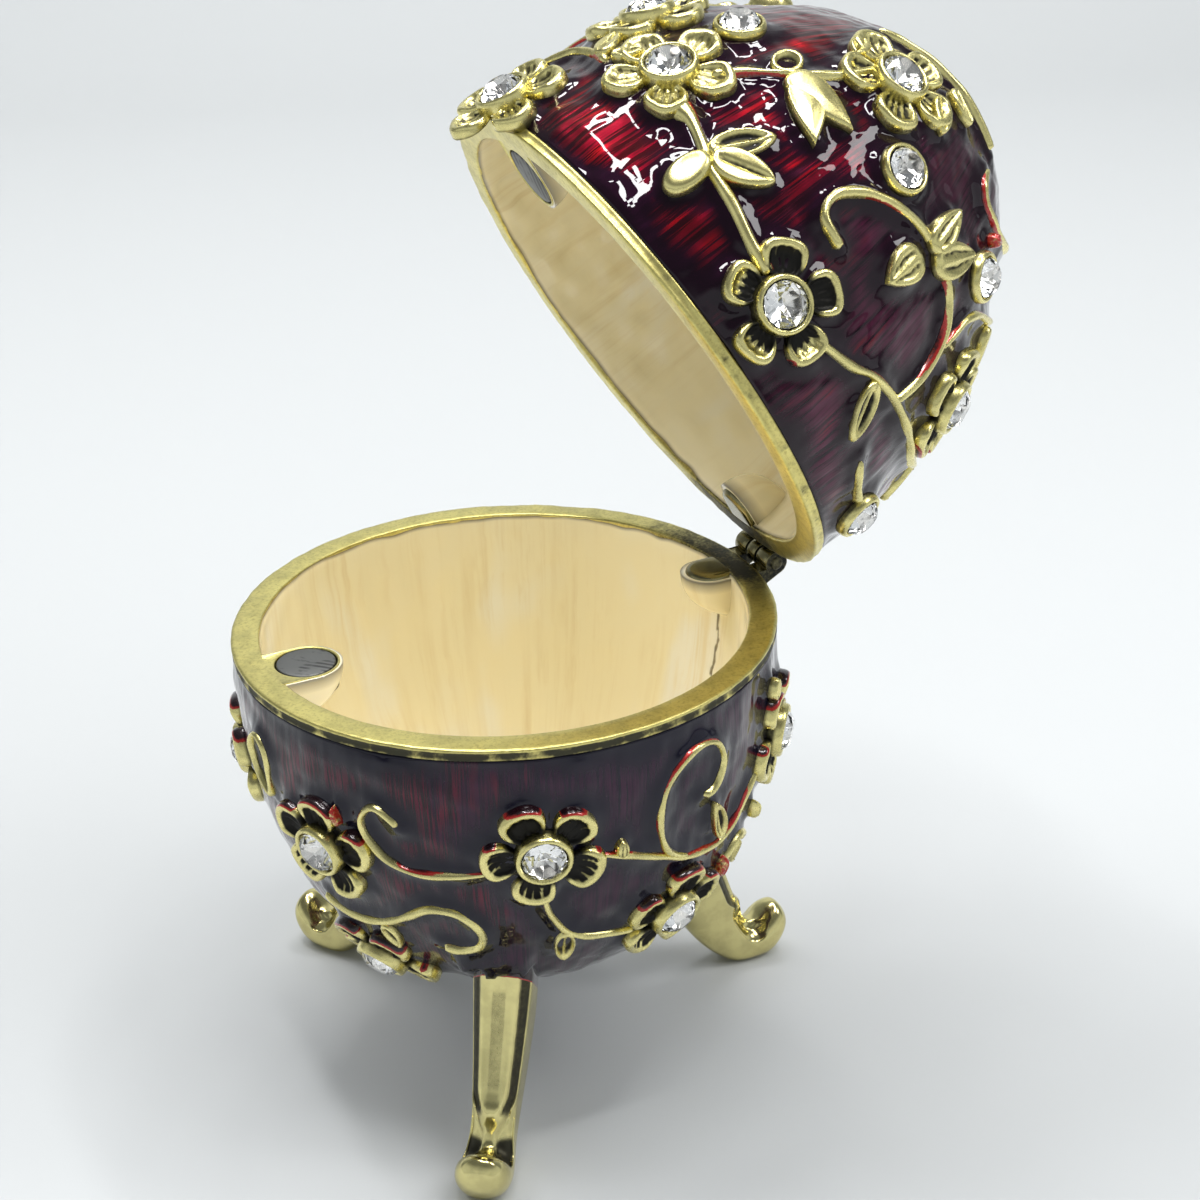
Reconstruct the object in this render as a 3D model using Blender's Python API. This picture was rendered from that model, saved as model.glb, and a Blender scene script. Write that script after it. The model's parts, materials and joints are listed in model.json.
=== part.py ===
# Jewelled egg trinket box, standing open on three cabriole legs.
# The egg's axis is vertical, the lid hinge is on the +X side, and the floor is at Z = 0.
# Sizes are in millimetres until a mesh is made, and in metres after that.
import math

import bmesh
import bpy
from mathutils import Vector

metre = 0.001

# Egg
rimRadius = 22.5          # outer radius of both rims
rimInner = 20.2           # inner radius of both rims
bandHeight = 0.95         # bare metal band round each rim
bandStep = 0.15           # the enamel stands this far inside the band
bowlDepth = 29.85         # from the rim to the pole of the bowl's outer curve
bowlPower = 2.18
bowlFullness = 0.329
bowlInnerDepth = 27.6
bowlInnerPower = 2.3
bowlInnerFullness = 0.34
lidHeight = 33.55
lidPower = 1.952
lidFullness = 0.494
lidInnerHeight = 31.4
lidInnerPower = 2.0
lidInnerFullness = 0.5
bowlFlat = 6.5            # radius of the flat under the bowl
floorFlat = 6.0           # radius of the flat inside the bowl
rimAboveFloor = 40.65
roundSteps = 48
weldDistance = 0.002      # points closer than this become one

# Hinge
hingeX = 24.12            # the pin's axis, from the egg's axis
hingeZ = 0.23             # the pin's axis, above the bowl's rim
lidOpenAngle = 61.0       # degrees from closed
lidGap = 0.2              # between the two rims when closed
knuckleRadius = 1.1
lidKnuckleHalf = 0.65     # half the width of the lid's middle knuckle
knuckleInner = 0.95       # where each outer knuckle begins
knuckleOuter = 2.75
webRoot = 21.8            # where the knuckle's web starts inside the wall
webNear = 0.35            # the web's near and far edges, from the rim plane
webFar = 2.3
pinRadius = 0.45
pinBore = 0.52
pinOverhang = 0.15
eyeStart = 205.0          # degrees; where the knuckle's round eye leaves its web
eyeSweep = 275.0
eyePoints = 12
pinPoints = 16
hingeBossRadius = 2.0
hingeBossX = 19.0
hingeBossDepth = 2.4

# Magnets
magnetRadius = 2.4
magnetThickness = 1.9
magnetX = -17.3
magnetGap = 0.3
magnetBossRadius = 3.1
magnetBossDepth = 3.4
magnetPoints = 24
bossSteps = 12            # round the half circle of a boss
faceDrop = 0.03           # the bosses and magnets sit this far under the rim face
bossRoot = 21.3           # how far out the bosses reach into the wall

# Flowers and stones
petalCount = 5
petalTip = 4.75
petalShoulder = 4.25
petalNotch = 3.0
petalRise = 1.05           # the petals' raised rims
bezelOuter = 2.35
bezelInner = 2.0
bezelRise = 1.5
bezelFloor = 0.55
bezelFoot = 0.75
flowerRoot = 0.9          # how deep a flower's back is set in the wall
overhangClear = 0.45      # an overhanging flower's back clears the bowl's band by this
plugRadius = 1.6
singleOuter = 2.45
singleBevel = 0.4         # height of the bevel round a single stone's bezel
stoneRadius = 1.7
stoneLift = 0.85
stoneGirdle = 1.35
stoneTable = 2.05
stoneTableRadius = 0.95
stoneSides = 12
tableSides = 6

# Where the flowers stand: degrees round the egg, millimetres from the rim, and turn in degrees
bowlFlowers = {
    "front": (-107.0, 9.4, 102.0),
    "right": (-38.0, 8.6, 90.0),
    "right_low": (-73.0, 19.6, 60.0),
    "left": (-155.6, 11.4, 60.0),
    "left_low": (-154.5, 24.0, 20.0),
    "back": (107.0, 9.4, 78.0),
    "back_right": (38.0, 8.6, 90.0),
    "back_left": (155.6, 11.4, 120.0),
}
lidFlowers = {
    "side": (-109.5, 6.0, 66.0),
    "upper": (-162.3, 11.7, 32.0),
    "crown": (-133.1, 25.4, 20.0),
    "hinge_side": (-52.0, 15.3, 50.0),
    "thumb": (175.5, 2.0, 54.0),
    "back": (109.5, 6.0, 114.0),
    "back_upper": (169.0, 15.4, 100.0),
    "back_crown": (133.1, 25.4, 160.0),
}
lidSingles = {
    "single_crown": (-113.5, 20.5),
    "single_upper": (-167.5, 18.8),
    "single_hinge": (-73.3, 22.4),
    "single_rim": (-52.5, 4.1),
}
overhanging = ("thumb",)

# Legs: front and back of each section down the leg, as radius and height above the rim, and width
legAngles = {"leg_front": -120.0, "leg_hinge": 0.0, "leg_back": 120.0}
legSections = (
    ((17.95, -23.35), (13.25, -28.05), 5.0, 0.55),
    ((18.55, -26.2), (13.6, -30.4), 4.75, 0.5),
    ((19.5, -29.6), (14.6, -33.0), 4.35, 0.5),
    ((20.5, -32.6), (15.9, -35.6), 3.95, 0.5),
    ((21.2, -34.6), (17.4, -37.8), 3.75, 0.6),
    ((21.9, -36.1), (18.9, -39.4), 3.8, 0.7),
    ((22.6, -37.0), (20.6, -40.8), 4.2, 0.8),
    ((23.5, -36.9), (22.6, -41.0), 4.6, 0.9),
    ((24.5, -36.1), (24.2, -41.0), 4.6, 0.95),
    ((25.4, -35.9), (25.3, -40.1), 4.0, 1.0),
    ((26.1, -36.6), (26.1, -38.8), 2.7, 1.0),
)
legSectionPoints = 12
sharpAngle = 30.0         # degrees; edges sharper than this are shaded as edges

# The egg's axis, from the middle of the whole open box
axisX = -10.593
axisY = 0.0


def clearScene():
    for item in list(bpy.data.objects):
        bpy.data.objects.remove(item, do_unlink=True)


def makeMaterial(name, colour, roughness, metallic):
    material = bpy.data.materials.new(name)
    material.use_nodes = True
    shader = material.node_tree.nodes["Principled BSDF"]
    shader.inputs["Base Color"].default_value = (*colour, 1.0)
    shader.inputs["Roughness"].default_value = roughness
    shader.inputs["Metallic"].default_value = metallic
    return material


def eggRadius(height, length, radius, power, fullness):
    return radius * max(0.0, 1.0 - (height / length) ** power) ** fullness


class EggSide:
    """One half of the egg: its outer surface, measured from the rim towards the pole."""

    def __init__(self, length, power, fullness, sign):
        self.length = length
        self.power = power
        self.fullness = fullness
        self.sign = sign

    def outside(self, point):
        spread = math.hypot(point.x, point.y) / rimRadius
        height = max(0.0, point.z * self.sign) / self.length
        return spread ** (1.0 / self.fullness) + height ** self.power - 1.0

    def normal(self, point):
        radius = max(1e-6, math.hypot(point.x, point.y))
        spread = radius / rimRadius
        height = max(0.0, point.z * self.sign) / self.length
        outward = spread ** (1.0 / self.fullness - 1.0) / (self.fullness * rimRadius)
        upward = self.power * height ** (self.power - 1.0) / self.length if height > 0.0 else 0.0
        return Vector((outward * point.x / radius, outward * point.y / radius,
                       upward * self.sign)).normalized()

    def frame(self, angle, height):
        """Centre, sideways, polewards and outward directions at a place on the surface."""
        turn = math.radians(angle)
        radius = eggRadius(height, self.length, rimRadius, self.power, self.fullness)
        centre = Vector((radius * math.cos(turn), radius * math.sin(turn), self.sign * height))
        outward = self.normal(centre)
        sideways = Vector((-math.sin(turn), math.cos(turn), 0.0))
        polewards = sideways.cross(outward) * -1.0
        if polewards.z * self.sign < 0.0:
            polewards.negate()
        return centre, sideways, polewards, outward

    def drape(self, place, across, along, rise):
        """A point set down on the surface beside a place, then lifted off it."""
        centre, sideways, polewards, outward = place
        start = centre + sideways * across + polewards * along
        low = -6.0
        high = 1.0
        for step in range(30):
            middle = (low + high) / 2.0
            if self.outside(start + outward * middle) > 0.0:
                high = middle
            else:
                low = middle
        point = start + outward * (low + high) / 2.0
        return point + self.normal(point) * rise


def addObject(name, working, material):
    """Close off a bmesh built in millimetres as an object in metres."""
    bmesh.ops.recalc_face_normals(working, faces=working.faces)
    bmesh.ops.scale(working, vec=(metre, metre, metre), verts=working.verts)
    mesh = bpy.data.meshes.new(name)
    working.to_mesh(mesh)
    working.free()
    mesh.materials.append(material)
    item = bpy.data.objects.new(name, mesh)
    bpy.context.scene.collection.objects.link(item)
    return item


def latheObject(name, profile, material):
    """Spin a profile of radius and height, with both ends on the axis, into a closed body."""
    working = bmesh.new()
    corners = [working.verts.new((radius, 0.0, height)) for radius, height in profile]
    edges = [working.edges.new(pair) for pair in zip(corners, corners[1:])]
    bmesh.ops.spin(working, geom=corners + edges, cent=(0.0, 0.0, 0.0), axis=(0.0, 0.0, 1.0),
                   angle=2.0 * math.pi, steps=roundSteps, use_merge=True)
    bmesh.ops.remove_doubles(working, verts=working.verts, dist=weldDistance)
    return addObject(name, working, material)


def stackObject(name, rings, material):
    """Join closed rings of equal count, one after another, into a body with flat ends."""
    working = bmesh.new()
    loops = [[working.verts.new(point) for point in ring] for ring in rings]
    working.faces.new(loops[0])
    working.faces.new(loops[-1])
    for lower, upper in zip(loops, loops[1:]):
        for index in range(len(lower)):
            following = (index + 1) % len(lower)
            working.faces.new((lower[index], lower[following], upper[following], upper[index]))
    return addObject(name, working, material)


def prismObject(name, outline, low, high, direction, material):
    """Push a flat outline from low to high along Z, or along Y where it is given as X and Z."""
    working = bmesh.new()
    if direction == "Z":
        corners = [working.verts.new((first, second, low)) for first, second in outline]
        push = (0.0, 0.0, high - low)
    else:
        corners = [working.verts.new((first, low, second)) for first, second in outline]
        push = (0.0, high - low, 0.0)
    face = working.faces.new(corners)
    pushed = bmesh.ops.extrude_face_region(working, geom=[face], use_keep_orig=True)
    moved = [item for item in pushed["geom"] if isinstance(item, bmesh.types.BMVert)]
    bmesh.ops.translate(working, vec=push, verts=moved)
    return addObject(name, working, material)


def combine(target, tools, operation):
    """Apply one exact boolean per tool, then remove the tools."""
    for tool in tools:
        modifier = target.modifiers.new("combine", "BOOLEAN")
        modifier.operation = operation
        modifier.solver = "EXACT"
        modifier.object = tool
        bpy.context.view_layer.update()
        graph = bpy.context.evaluated_depsgraph_get()
        result = bpy.data.meshes.new_from_object(target.evaluated_get(graph))
        target.modifiers.clear()
        target.data = result
        bpy.data.objects.remove(tool, do_unlink=True)


def tidyMesh(item):
    working = bmesh.new()
    working.from_mesh(item.data)
    bmesh.ops.remove_doubles(working, verts=working.verts, dist=weldDistance * metre)
    bmesh.ops.dissolve_degenerate(working, edges=working.edges, dist=weldDistance * metre)
    bmesh.ops.triangulate(working, faces=[face for face in working.faces if len(face.verts) > 4])
    working.to_mesh(item.data)
    working.free()


def petalOutline(turn):
    """Distance from the flower's middle to its edge, one lobe for each petal."""
    phase = (turn / (2.0 * math.pi) * petalCount) % 1.0
    quarter = int(round(phase * 4.0)) % 4
    return (petalTip, petalShoulder, petalNotch, petalShoulder)[quarter]


def flowerObject(name, side, angle, height, turn, overhangs, material):
    place = side.frame(angle, height)
    steps = petalCount * 4

    def ring(reach, rise):
        points = []
        for index in range(steps):
            swing = 2.0 * math.pi * index / steps
            distance = reach(swing)
            heading = math.radians(turn) + swing
            points.append(side.drape(place, distance * math.cos(heading),
                                     distance * math.sin(heading), rise(swing)))
        return points

    def flat(value):
        return lambda swing: value

    def edgeRise(swing):
        return petalRise if petalOutline(swing) > petalNotch else bezelFoot

    rings = []
    if overhangs:
        rings.append(ring(flat(plugRadius), flat(-flowerRoot)))
        rings.append(ring(flat(plugRadius), flat(overhangClear)))
        rings.append(ring(petalOutline, flat(overhangClear)))
    else:
        rings.append(ring(petalOutline, flat(-flowerRoot)))
    rings.append(ring(petalOutline, edgeRise))
    rings.append(ring(flat(bezelOuter), flat(bezelFoot)))
    rings.append(ring(flat(bezelOuter), flat(bezelRise)))
    rings.append(ring(flat(bezelInner), flat(bezelRise)))
    rings.append(ring(flat(bezelInner), flat(bezelFloor)))
    return stackObject(name, rings, material)


def singleObject(name, side, angle, height, material):
    place = side.frame(angle, height)
    rings = []
    for distance, rise in ((singleOuter, -flowerRoot), (singleOuter, bezelRise - singleBevel),
                           (bezelOuter, bezelRise), (bezelInner, bezelRise), (bezelInner, bezelFloor)):
        points = []
        for index in range(stoneSides):
            heading = 2.0 * math.pi * index / stoneSides
            points.append(side.drape(place, distance * math.cos(heading),
                                     distance * math.sin(heading), rise))
        rings.append(points)
    return stackObject(name, rings, material)


def stoneObject(name, side, angle, height, material):
    """A flat-backed round stone: a straight girdle, then facets up to a six-sided table."""
    centre, sideways, polewards, outward = side.frame(angle, height)
    working = bmesh.new()

    def ring(count, radius, rise):
        corners = []
        for index in range(count):
            heading = 2.0 * math.pi * index / count
            corners.append(working.verts.new(centre + sideways * radius * math.cos(heading)
                                             + polewards * radius * math.sin(heading)
                                             + outward * rise))
        return corners

    back = ring(stoneSides, stoneRadius, stoneLift)
    girdle = ring(stoneSides, stoneRadius, stoneGirdle)
    table = ring(tableSides, stoneTableRadius, stoneTable)
    working.faces.new(back)
    working.faces.new(table)
    for index in range(stoneSides):
        following = (index + 1) % stoneSides
        working.faces.new((back[index], back[following], girdle[following], girdle[index]))
    for index in range(tableSides):
        following = (index + 1) % tableSides
        here = girdle[2 * index]
        after = girdle[2 * index + 1]
        beyond = girdle[(2 * index + 2) % stoneSides]
        working.faces.new((here, after, table[index]))
        working.faces.new((after, table[following], table[index]))
        working.faces.new((after, beyond, table[following]))
    return addObject(name, working, material)


def bossOutline(centreX, radius, root):
    """A half round towards the egg's axis with straight sides that run into the wall."""
    outward = 1.0 if centreX > 0.0 else -1.0
    points = [(outward * root, -radius), ]
    for index in range(bossSteps + 1):
        turn = -math.pi / 2.0 - math.pi * index / bossSteps
        points.append((centreX + outward * radius * math.cos(turn), radius * math.sin(turn)))
    points.append((outward * root, radius))
    return points


def circleOutline(centreX, centreY, radius, count):
    return [(centreX + radius * math.cos(2.0 * math.pi * index / count),
             centreY + radius * math.sin(2.0 * math.pi * index / count)) for index in range(count)]


def knuckleOutline(sign, eyeZ):
    """A round eye joined to the rim's wall by a web: below the rim for 1, above it for -1."""
    points = [(webRoot, -sign * webFar), (webRoot, -sign * webNear)]
    start = math.radians(eyeStart)
    sweep = math.radians(eyeSweep)
    for index in range(eyePoints):
        turn = start - sweep * index / (eyePoints - 1)
        points.append((hingeX + knuckleRadius * math.cos(turn),
                       eyeZ + sign * knuckleRadius * math.sin(turn)))
    return points


def wallProfile(length, power, fullness, innerLength, innerPower, innerFullness, outerSteps,
                innerSteps, sign, poleFlat, innerFlat):
    """From the outer pole, over the rim, to the inner pole."""
    outer = [(rimRadius, 0.0), (rimRadius, bandHeight), (rimRadius - bandStep, bandHeight + 0.1)]
    for height in outerSteps:
        outer.append((eggRadius(height, length, rimRadius, power, fullness), height))
    if poleFlat:
        top = length * (1.0 - (poleFlat / rimRadius) ** (1.0 / fullness)) ** (1.0 / power)
        outer += [(poleFlat, top), (0.0, top)]
    else:
        outer.append((0.0, length))
    inner = [(rimInner, 0.0)]
    for height in innerSteps:
        inner.append((eggRadius(height, innerLength, rimInner, innerPower, innerFullness), height))
    if innerFlat:
        top = innerLength * (1.0 - (innerFlat / rimInner) ** (1.0 / innerFullness)) ** (1.0 / innerPower)
        inner += [(innerFlat, top), (0.0, top)]
    else:
        inner.append((0.0, innerLength))
    profile = list(reversed(outer)) + inner
    return [(radius, sign * height) for radius, height in profile]


def buildBowl(brass):
    profile = wallProfile(bowlDepth, bowlPower, bowlFullness, bowlInnerDepth, bowlInnerPower,
                          bowlInnerFullness, (5.0, 10.0, 14.5, 18.5, 21.8, 24.6, 26.8, 28.4),
                          (5.5, 11.0, 16.0, 20.0, 23.2, 25.6), -1.0, bowlFlat, floorFlat)
    bowl = latheObject("bowl", profile, brass)
    side = EggSide(bowlDepth, bowlPower, bowlFullness, -1.0)
    tools = [flowerObject("tool", side, *place, False, brass) for place in bowlFlowers.values()]
    tools.append(prismObject("tool", bossOutline(magnetX, magnetBossRadius, bossRoot),
                             -faceDrop - magnetBossDepth, -faceDrop, "Z", brass))
    tools.append(prismObject("tool", bossOutline(hingeBossX, hingeBossRadius, bossRoot),
                             -faceDrop - hingeBossDepth, -faceDrop, "Z", brass))
    outline = knuckleOutline(1.0, hingeZ)
    tools.append(prismObject("tool", outline, knuckleInner, knuckleOuter, "Y", brass))
    tools.append(prismObject("tool", outline, -knuckleOuter, -knuckleInner, "Y", brass))
    combine(bowl, tools, "UNION")
    pocket = circleOutline(magnetX, 0.0, magnetRadius + magnetGap, magnetPoints)
    bore = circleOutline(hingeX, hingeZ, pinBore, pinPoints)
    cutters = [prismObject("tool", pocket, -faceDrop - magnetThickness - magnetGap, 1.0, "Z", brass),
               prismObject("tool", bore, -4.0, 4.0, "Y", brass)]
    combine(bowl, cutters, "DIFFERENCE")
    tidyMesh(bowl)
    return bowl


def buildLid(brass):
    profile = wallProfile(lidHeight, lidPower, lidFullness, lidInnerHeight, lidInnerPower,
                          lidInnerFullness, (5.5, 11.0, 16.0, 20.5, 24.5, 28.0, 31.0, 33.0),
                          (5.5, 11.0, 16.0, 20.5, 24.5, 28.0, 30.4), 1.0, 0.0, 0.0)
    lid = latheObject("lid", profile, brass)
    side = EggSide(lidHeight, lidPower, lidFullness, 1.0)
    tools = [flowerObject("tool", side, *place, name in overhanging, brass)
             for name, place in lidFlowers.items()]
    tools += [singleObject("tool", side, *place, brass) for place in lidSingles.values()]
    tools.append(prismObject("tool", bossOutline(magnetX, magnetBossRadius, bossRoot),
                             faceDrop, faceDrop + magnetBossDepth, "Z", brass))
    tools.append(prismObject("tool", bossOutline(hingeBossX, hingeBossRadius, bossRoot),
                             faceDrop, faceDrop + hingeBossDepth, "Z", brass))
    outline = knuckleOutline(-1.0, hingeZ - lidGap)
    tools.append(prismObject("tool", outline, -lidKnuckleHalf, lidKnuckleHalf, "Y", brass))
    combine(lid, tools, "UNION")
    pocket = circleOutline(magnetX, 0.0, magnetRadius + magnetGap, magnetPoints)
    bore = circleOutline(hingeX, hingeZ - lidGap, pinBore, pinPoints)
    cutters = [prismObject("tool", pocket, -1.0, faceDrop + magnetThickness + magnetGap, "Z", brass),
               prismObject("tool", bore, -4.0, 4.0, "Y", brass)]
    combine(lid, cutters, "DIFFERENCE")
    tidyMesh(lid)
    return lid


def legObject(name, material):
    """A leg that points along +X: a bent bar of shaped sections, cut flat where it stands."""
    rings = []
    for front, back, width, roundness in legSections:
        centre = Vector(((front[0] + back[0]) / 2.0, 0.0, (front[1] + back[1]) / 2.0))
        reach = Vector(((front[0] - back[0]) / 2.0, 0.0, (front[1] - back[1]) / 2.0))
        points = []
        for index in range(legSectionPoints):
            turn = 2.0 * math.pi * (index + 0.5) / legSectionPoints
            across = math.copysign(abs(math.cos(turn)) ** roundness, math.cos(turn))
            along = math.copysign(abs(math.sin(turn)) ** roundness, math.sin(turn))
            points.append(centre + reach * along + Vector((0.0, width / 2.0 * across, 0.0)))
        rings.append(points)
    leg = stackObject(name, rings, material)
    working = bmesh.new()
    working.from_mesh(leg.data)
    everything = list(working.verts) + list(working.edges) + list(working.faces)
    bmesh.ops.bisect_plane(working, geom=everything, plane_co=(0.0, 0.0, -rimAboveFloor * metre),
                           plane_no=(0.0, 0.0, -1.0), clear_outer=True)
    rim = [edge for edge in working.edges if edge.is_boundary]
    bmesh.ops.contextual_create(working, geom=rim)
    bmesh.ops.triangulate(working, faces=[face for face in working.faces if len(face.verts) > 4])
    bmesh.ops.recalc_face_normals(working, faces=working.faces)
    working.to_mesh(leg.data)
    working.free()
    return leg


def makeEmpty(name, parent, location):
    empty = bpy.data.objects.new(name, None)
    bpy.context.scene.collection.objects.link(empty)
    empty.parent = parent
    empty.location = location
    return empty


def mountPart(item, parent, location=(0.0, 0.0, 0.0)):
    """Hang a finished piece on its empty and shade it smooth between sharp edges."""
    item.parent = parent
    item.location = location
    item.data.shade_smooth()
    item.data.set_sharp_from_angle(angle=math.radians(sharpAngle))


def main():
    clearScene()
    brass = makeMaterial("antique_brass", (0.62, 0.53, 0.24), 0.32, 1.0)
    enamel = makeMaterial("red_enamel", (0.16, 0.012, 0.022), 0.12, 0.0)
    pinMetal = makeMaterial("pin_brass", (0.45, 0.38, 0.2), 0.35, 1.0)
    steel = makeMaterial("magnet_steel", (0.42, 0.42, 0.42), 0.4, 1.0)
    crystal = makeMaterial("crystal", (0.9, 0.93, 0.95), 0.03, 0.0)

    # The bowl's rim centre carries the fixed pieces, and the pin's axis carries the lid.
    rimCentre = makeEmpty("rim_centre", None, Vector((axisX, axisY, rimAboveFloor)) * metre)
    lidHinge = makeEmpty("lid_hinge", rimCentre, Vector((hingeX, 0.0, hingeZ)) * metre)
    lidHinge.rotation_euler = (0.0, math.radians(lidOpenAngle), 0.0)
    lidOrigin = Vector((-hingeX, 0.0, lidGap - hingeZ)) * metre

    mountPart(buildBowl(enamel), rimCentre)
    mountPart(buildLid(enamel), lidHinge, lidOrigin)
    for name, angle in legAngles.items():
        leg = legObject(name, brass)
        mountPart(leg, rimCentre)
        leg.rotation_euler = (0.0, 0.0, math.radians(angle))

    reach = knuckleOuter + pinOverhang
    pin = prismObject("hinge_pin", circleOutline(hingeX, hingeZ, pinRadius, pinPoints), -reach, reach, "Y",
                      pinMetal)
    mountPart(pin, rimCentre)
    disc = circleOutline(magnetX, 0.0, magnetRadius, magnetPoints)
    lowMagnet = prismObject("magnet_bowl", disc, -faceDrop - magnetThickness, -faceDrop, "Z", steel)
    mountPart(lowMagnet, rimCentre)
    highMagnet = prismObject("magnet_lid", disc, faceDrop, faceDrop + magnetThickness, "Z", steel)
    mountPart(highMagnet, lidHinge, lidOrigin)

    bowlSide = EggSide(bowlDepth, bowlPower, bowlFullness, -1.0)
    lidSide = EggSide(lidHeight, lidPower, lidFullness, 1.0)
    for name, (angle, height, turn) in bowlFlowers.items():
        mountPart(stoneObject("stone_bowl_" + name, bowlSide, angle, height, crystal), rimCentre)
    for name, (angle, height, turn) in lidFlowers.items():
        mountPart(stoneObject("stone_lid_" + name, lidSide, angle, height, crystal), lidHinge,
                  lidOrigin)
    for name, (angle, height) in lidSingles.items():
        mountPart(stoneObject("stone_lid_" + name, lidSide, angle, height, crystal), lidHinge,
                  lidOrigin)


main()
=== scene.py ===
import json
import math

import bmesh
import bpy
import numpy as np
from mathutils import Matrix, Vector


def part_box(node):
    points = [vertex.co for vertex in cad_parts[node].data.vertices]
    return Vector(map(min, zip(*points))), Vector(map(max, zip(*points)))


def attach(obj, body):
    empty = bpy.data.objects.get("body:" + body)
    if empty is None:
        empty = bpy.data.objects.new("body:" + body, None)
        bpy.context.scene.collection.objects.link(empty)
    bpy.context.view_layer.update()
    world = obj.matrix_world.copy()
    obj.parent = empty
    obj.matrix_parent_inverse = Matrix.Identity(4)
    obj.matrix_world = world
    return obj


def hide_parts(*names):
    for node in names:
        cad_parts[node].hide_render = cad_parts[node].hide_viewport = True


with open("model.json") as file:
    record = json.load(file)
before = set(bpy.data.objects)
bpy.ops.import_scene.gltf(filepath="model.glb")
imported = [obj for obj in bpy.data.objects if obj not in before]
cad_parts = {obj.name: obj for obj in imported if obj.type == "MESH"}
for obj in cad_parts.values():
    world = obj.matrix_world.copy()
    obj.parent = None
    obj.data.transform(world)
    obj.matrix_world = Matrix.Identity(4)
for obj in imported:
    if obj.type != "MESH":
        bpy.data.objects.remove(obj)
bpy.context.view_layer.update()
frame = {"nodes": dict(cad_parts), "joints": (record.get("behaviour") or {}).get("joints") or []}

millimetre = 0.001
turnRound = 2 * math.pi
axes = (np.zeros(3), *np.eye(3))

egg = {
    "rimOuter": 22.5,
    "rimInner": 20.2,
    "bandHeight": 0.95,
    "hingeReach": 24.12,       # from the egg's axis to the pin
    "hingeRise": 0.23,         # from the bowl's rim to the pin
    "lidGap": 0.2,
    "bowlOuter": (29.85, 2.18, 0.329),    # depth, power and fullness of each curve
    "bowlInner": (27.6, 2.3, 0.34),
    "lidOuter": (33.55, 1.952, 0.494),
    "lidInner": (31.4, 2.0, 0.5),
}

pinLow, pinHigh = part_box("hinge_pin")
pinMatrix = Matrix.Translation((pinLow + pinHigh) / 2)
openAngle = -math.radians(frame["joints"][0]["range_deg"][0])
toPin = Vector((egg["hingeReach"], 0, egg["hingeRise"]))
lidLift = Vector((0, 0, egg["lidGap"]))
halves = {
    # sign of its heights, body and matrix
    "bowl": (-1, "base", pinMatrix @ Matrix.Translation(-toPin * millimetre)),
    "lid": (1, "lid", pinMatrix @ Matrix.Rotation(openAngle, 4, "Y")
            @ Matrix.Translation((lidLift - toPin) * millimetre)),
}


def evenTurns(count, offset=0.0):
    return turnRound * (np.arange(count) + offset) / count


def spun(place, turn, reach, rise):
    # points at turns round a spot: how far out from it and how high over it
    centre, sideways, polewards, outward = place
    turn = np.asarray(turn)[..., None]
    way = np.cos(turn) * sideways + np.sin(turn) * polewards
    return centre + np.asarray(reach)[..., None] * way + np.asarray(rise)[..., None] * outward


def wayRound(turn, centre=0.0):
    # how far the turn is from the centre, by the shorter way round
    return (turn - centre + math.pi) % turnRound - math.pi


def smoothStep(low, high, value):
    share = np.clip((value - low) / (high - low), 0, 1)
    return share * share * (3 - 2 * share)


def rounded(value, power):
    return np.sign(value) * np.abs(value) ** power


def ripples(seed, wavelength, count=14):
    # smooth random waves through space, the same in every run
    draw = np.random.default_rng(seed)
    ways = draw.normal(size=(count, 3))
    ways /= np.linalg.norm(ways, axis=1, keepdims=True)
    ways *= (turnRound / (wavelength * draw.uniform(0.7, 1.5, count)))[:, None]
    phases = draw.uniform(0, turnRound, count)
    return lambda points: np.sin(points @ ways.T + phases).sum(-1) * math.sqrt(2 / count)


def extended(corners):
    return np.vstack([2 * corners[0] - corners[1], corners, 2 * corners[-1] - corners[-2]])


def curved(before, first, second, after, share):
    # the Catmull-Rom curve from the first to the second
    return 0.5 * (2 * first + (second - before) * share
                  + (2 * before - 5 * first + 4 * second - after) * share ** 2
                  + (3 * first - before - 3 * second + after) * share ** 3)


def smoothLine(corners, spacing):
    # an evenly spaced curve through the corners, and how far along it each point is
    ends = extended(corners)
    share = np.linspace(0, 1, 16, endpoint=False)[:, None]
    spans = [curved(*four, share) for four in zip(ends, ends[1:], ends[2:], ends[3:])]
    line = np.vstack([*spans, corners[-1:]])
    travelled = np.append(0, np.cumsum(np.linalg.norm(np.diff(line, axis=0), axis=1)))
    wanted = np.linspace(0, travelled[-1], max(6, int(travelled[-1] / spacing)))
    return np.stack([np.interp(wanted, travelled, values) for values in line.T], 1), wanted


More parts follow.
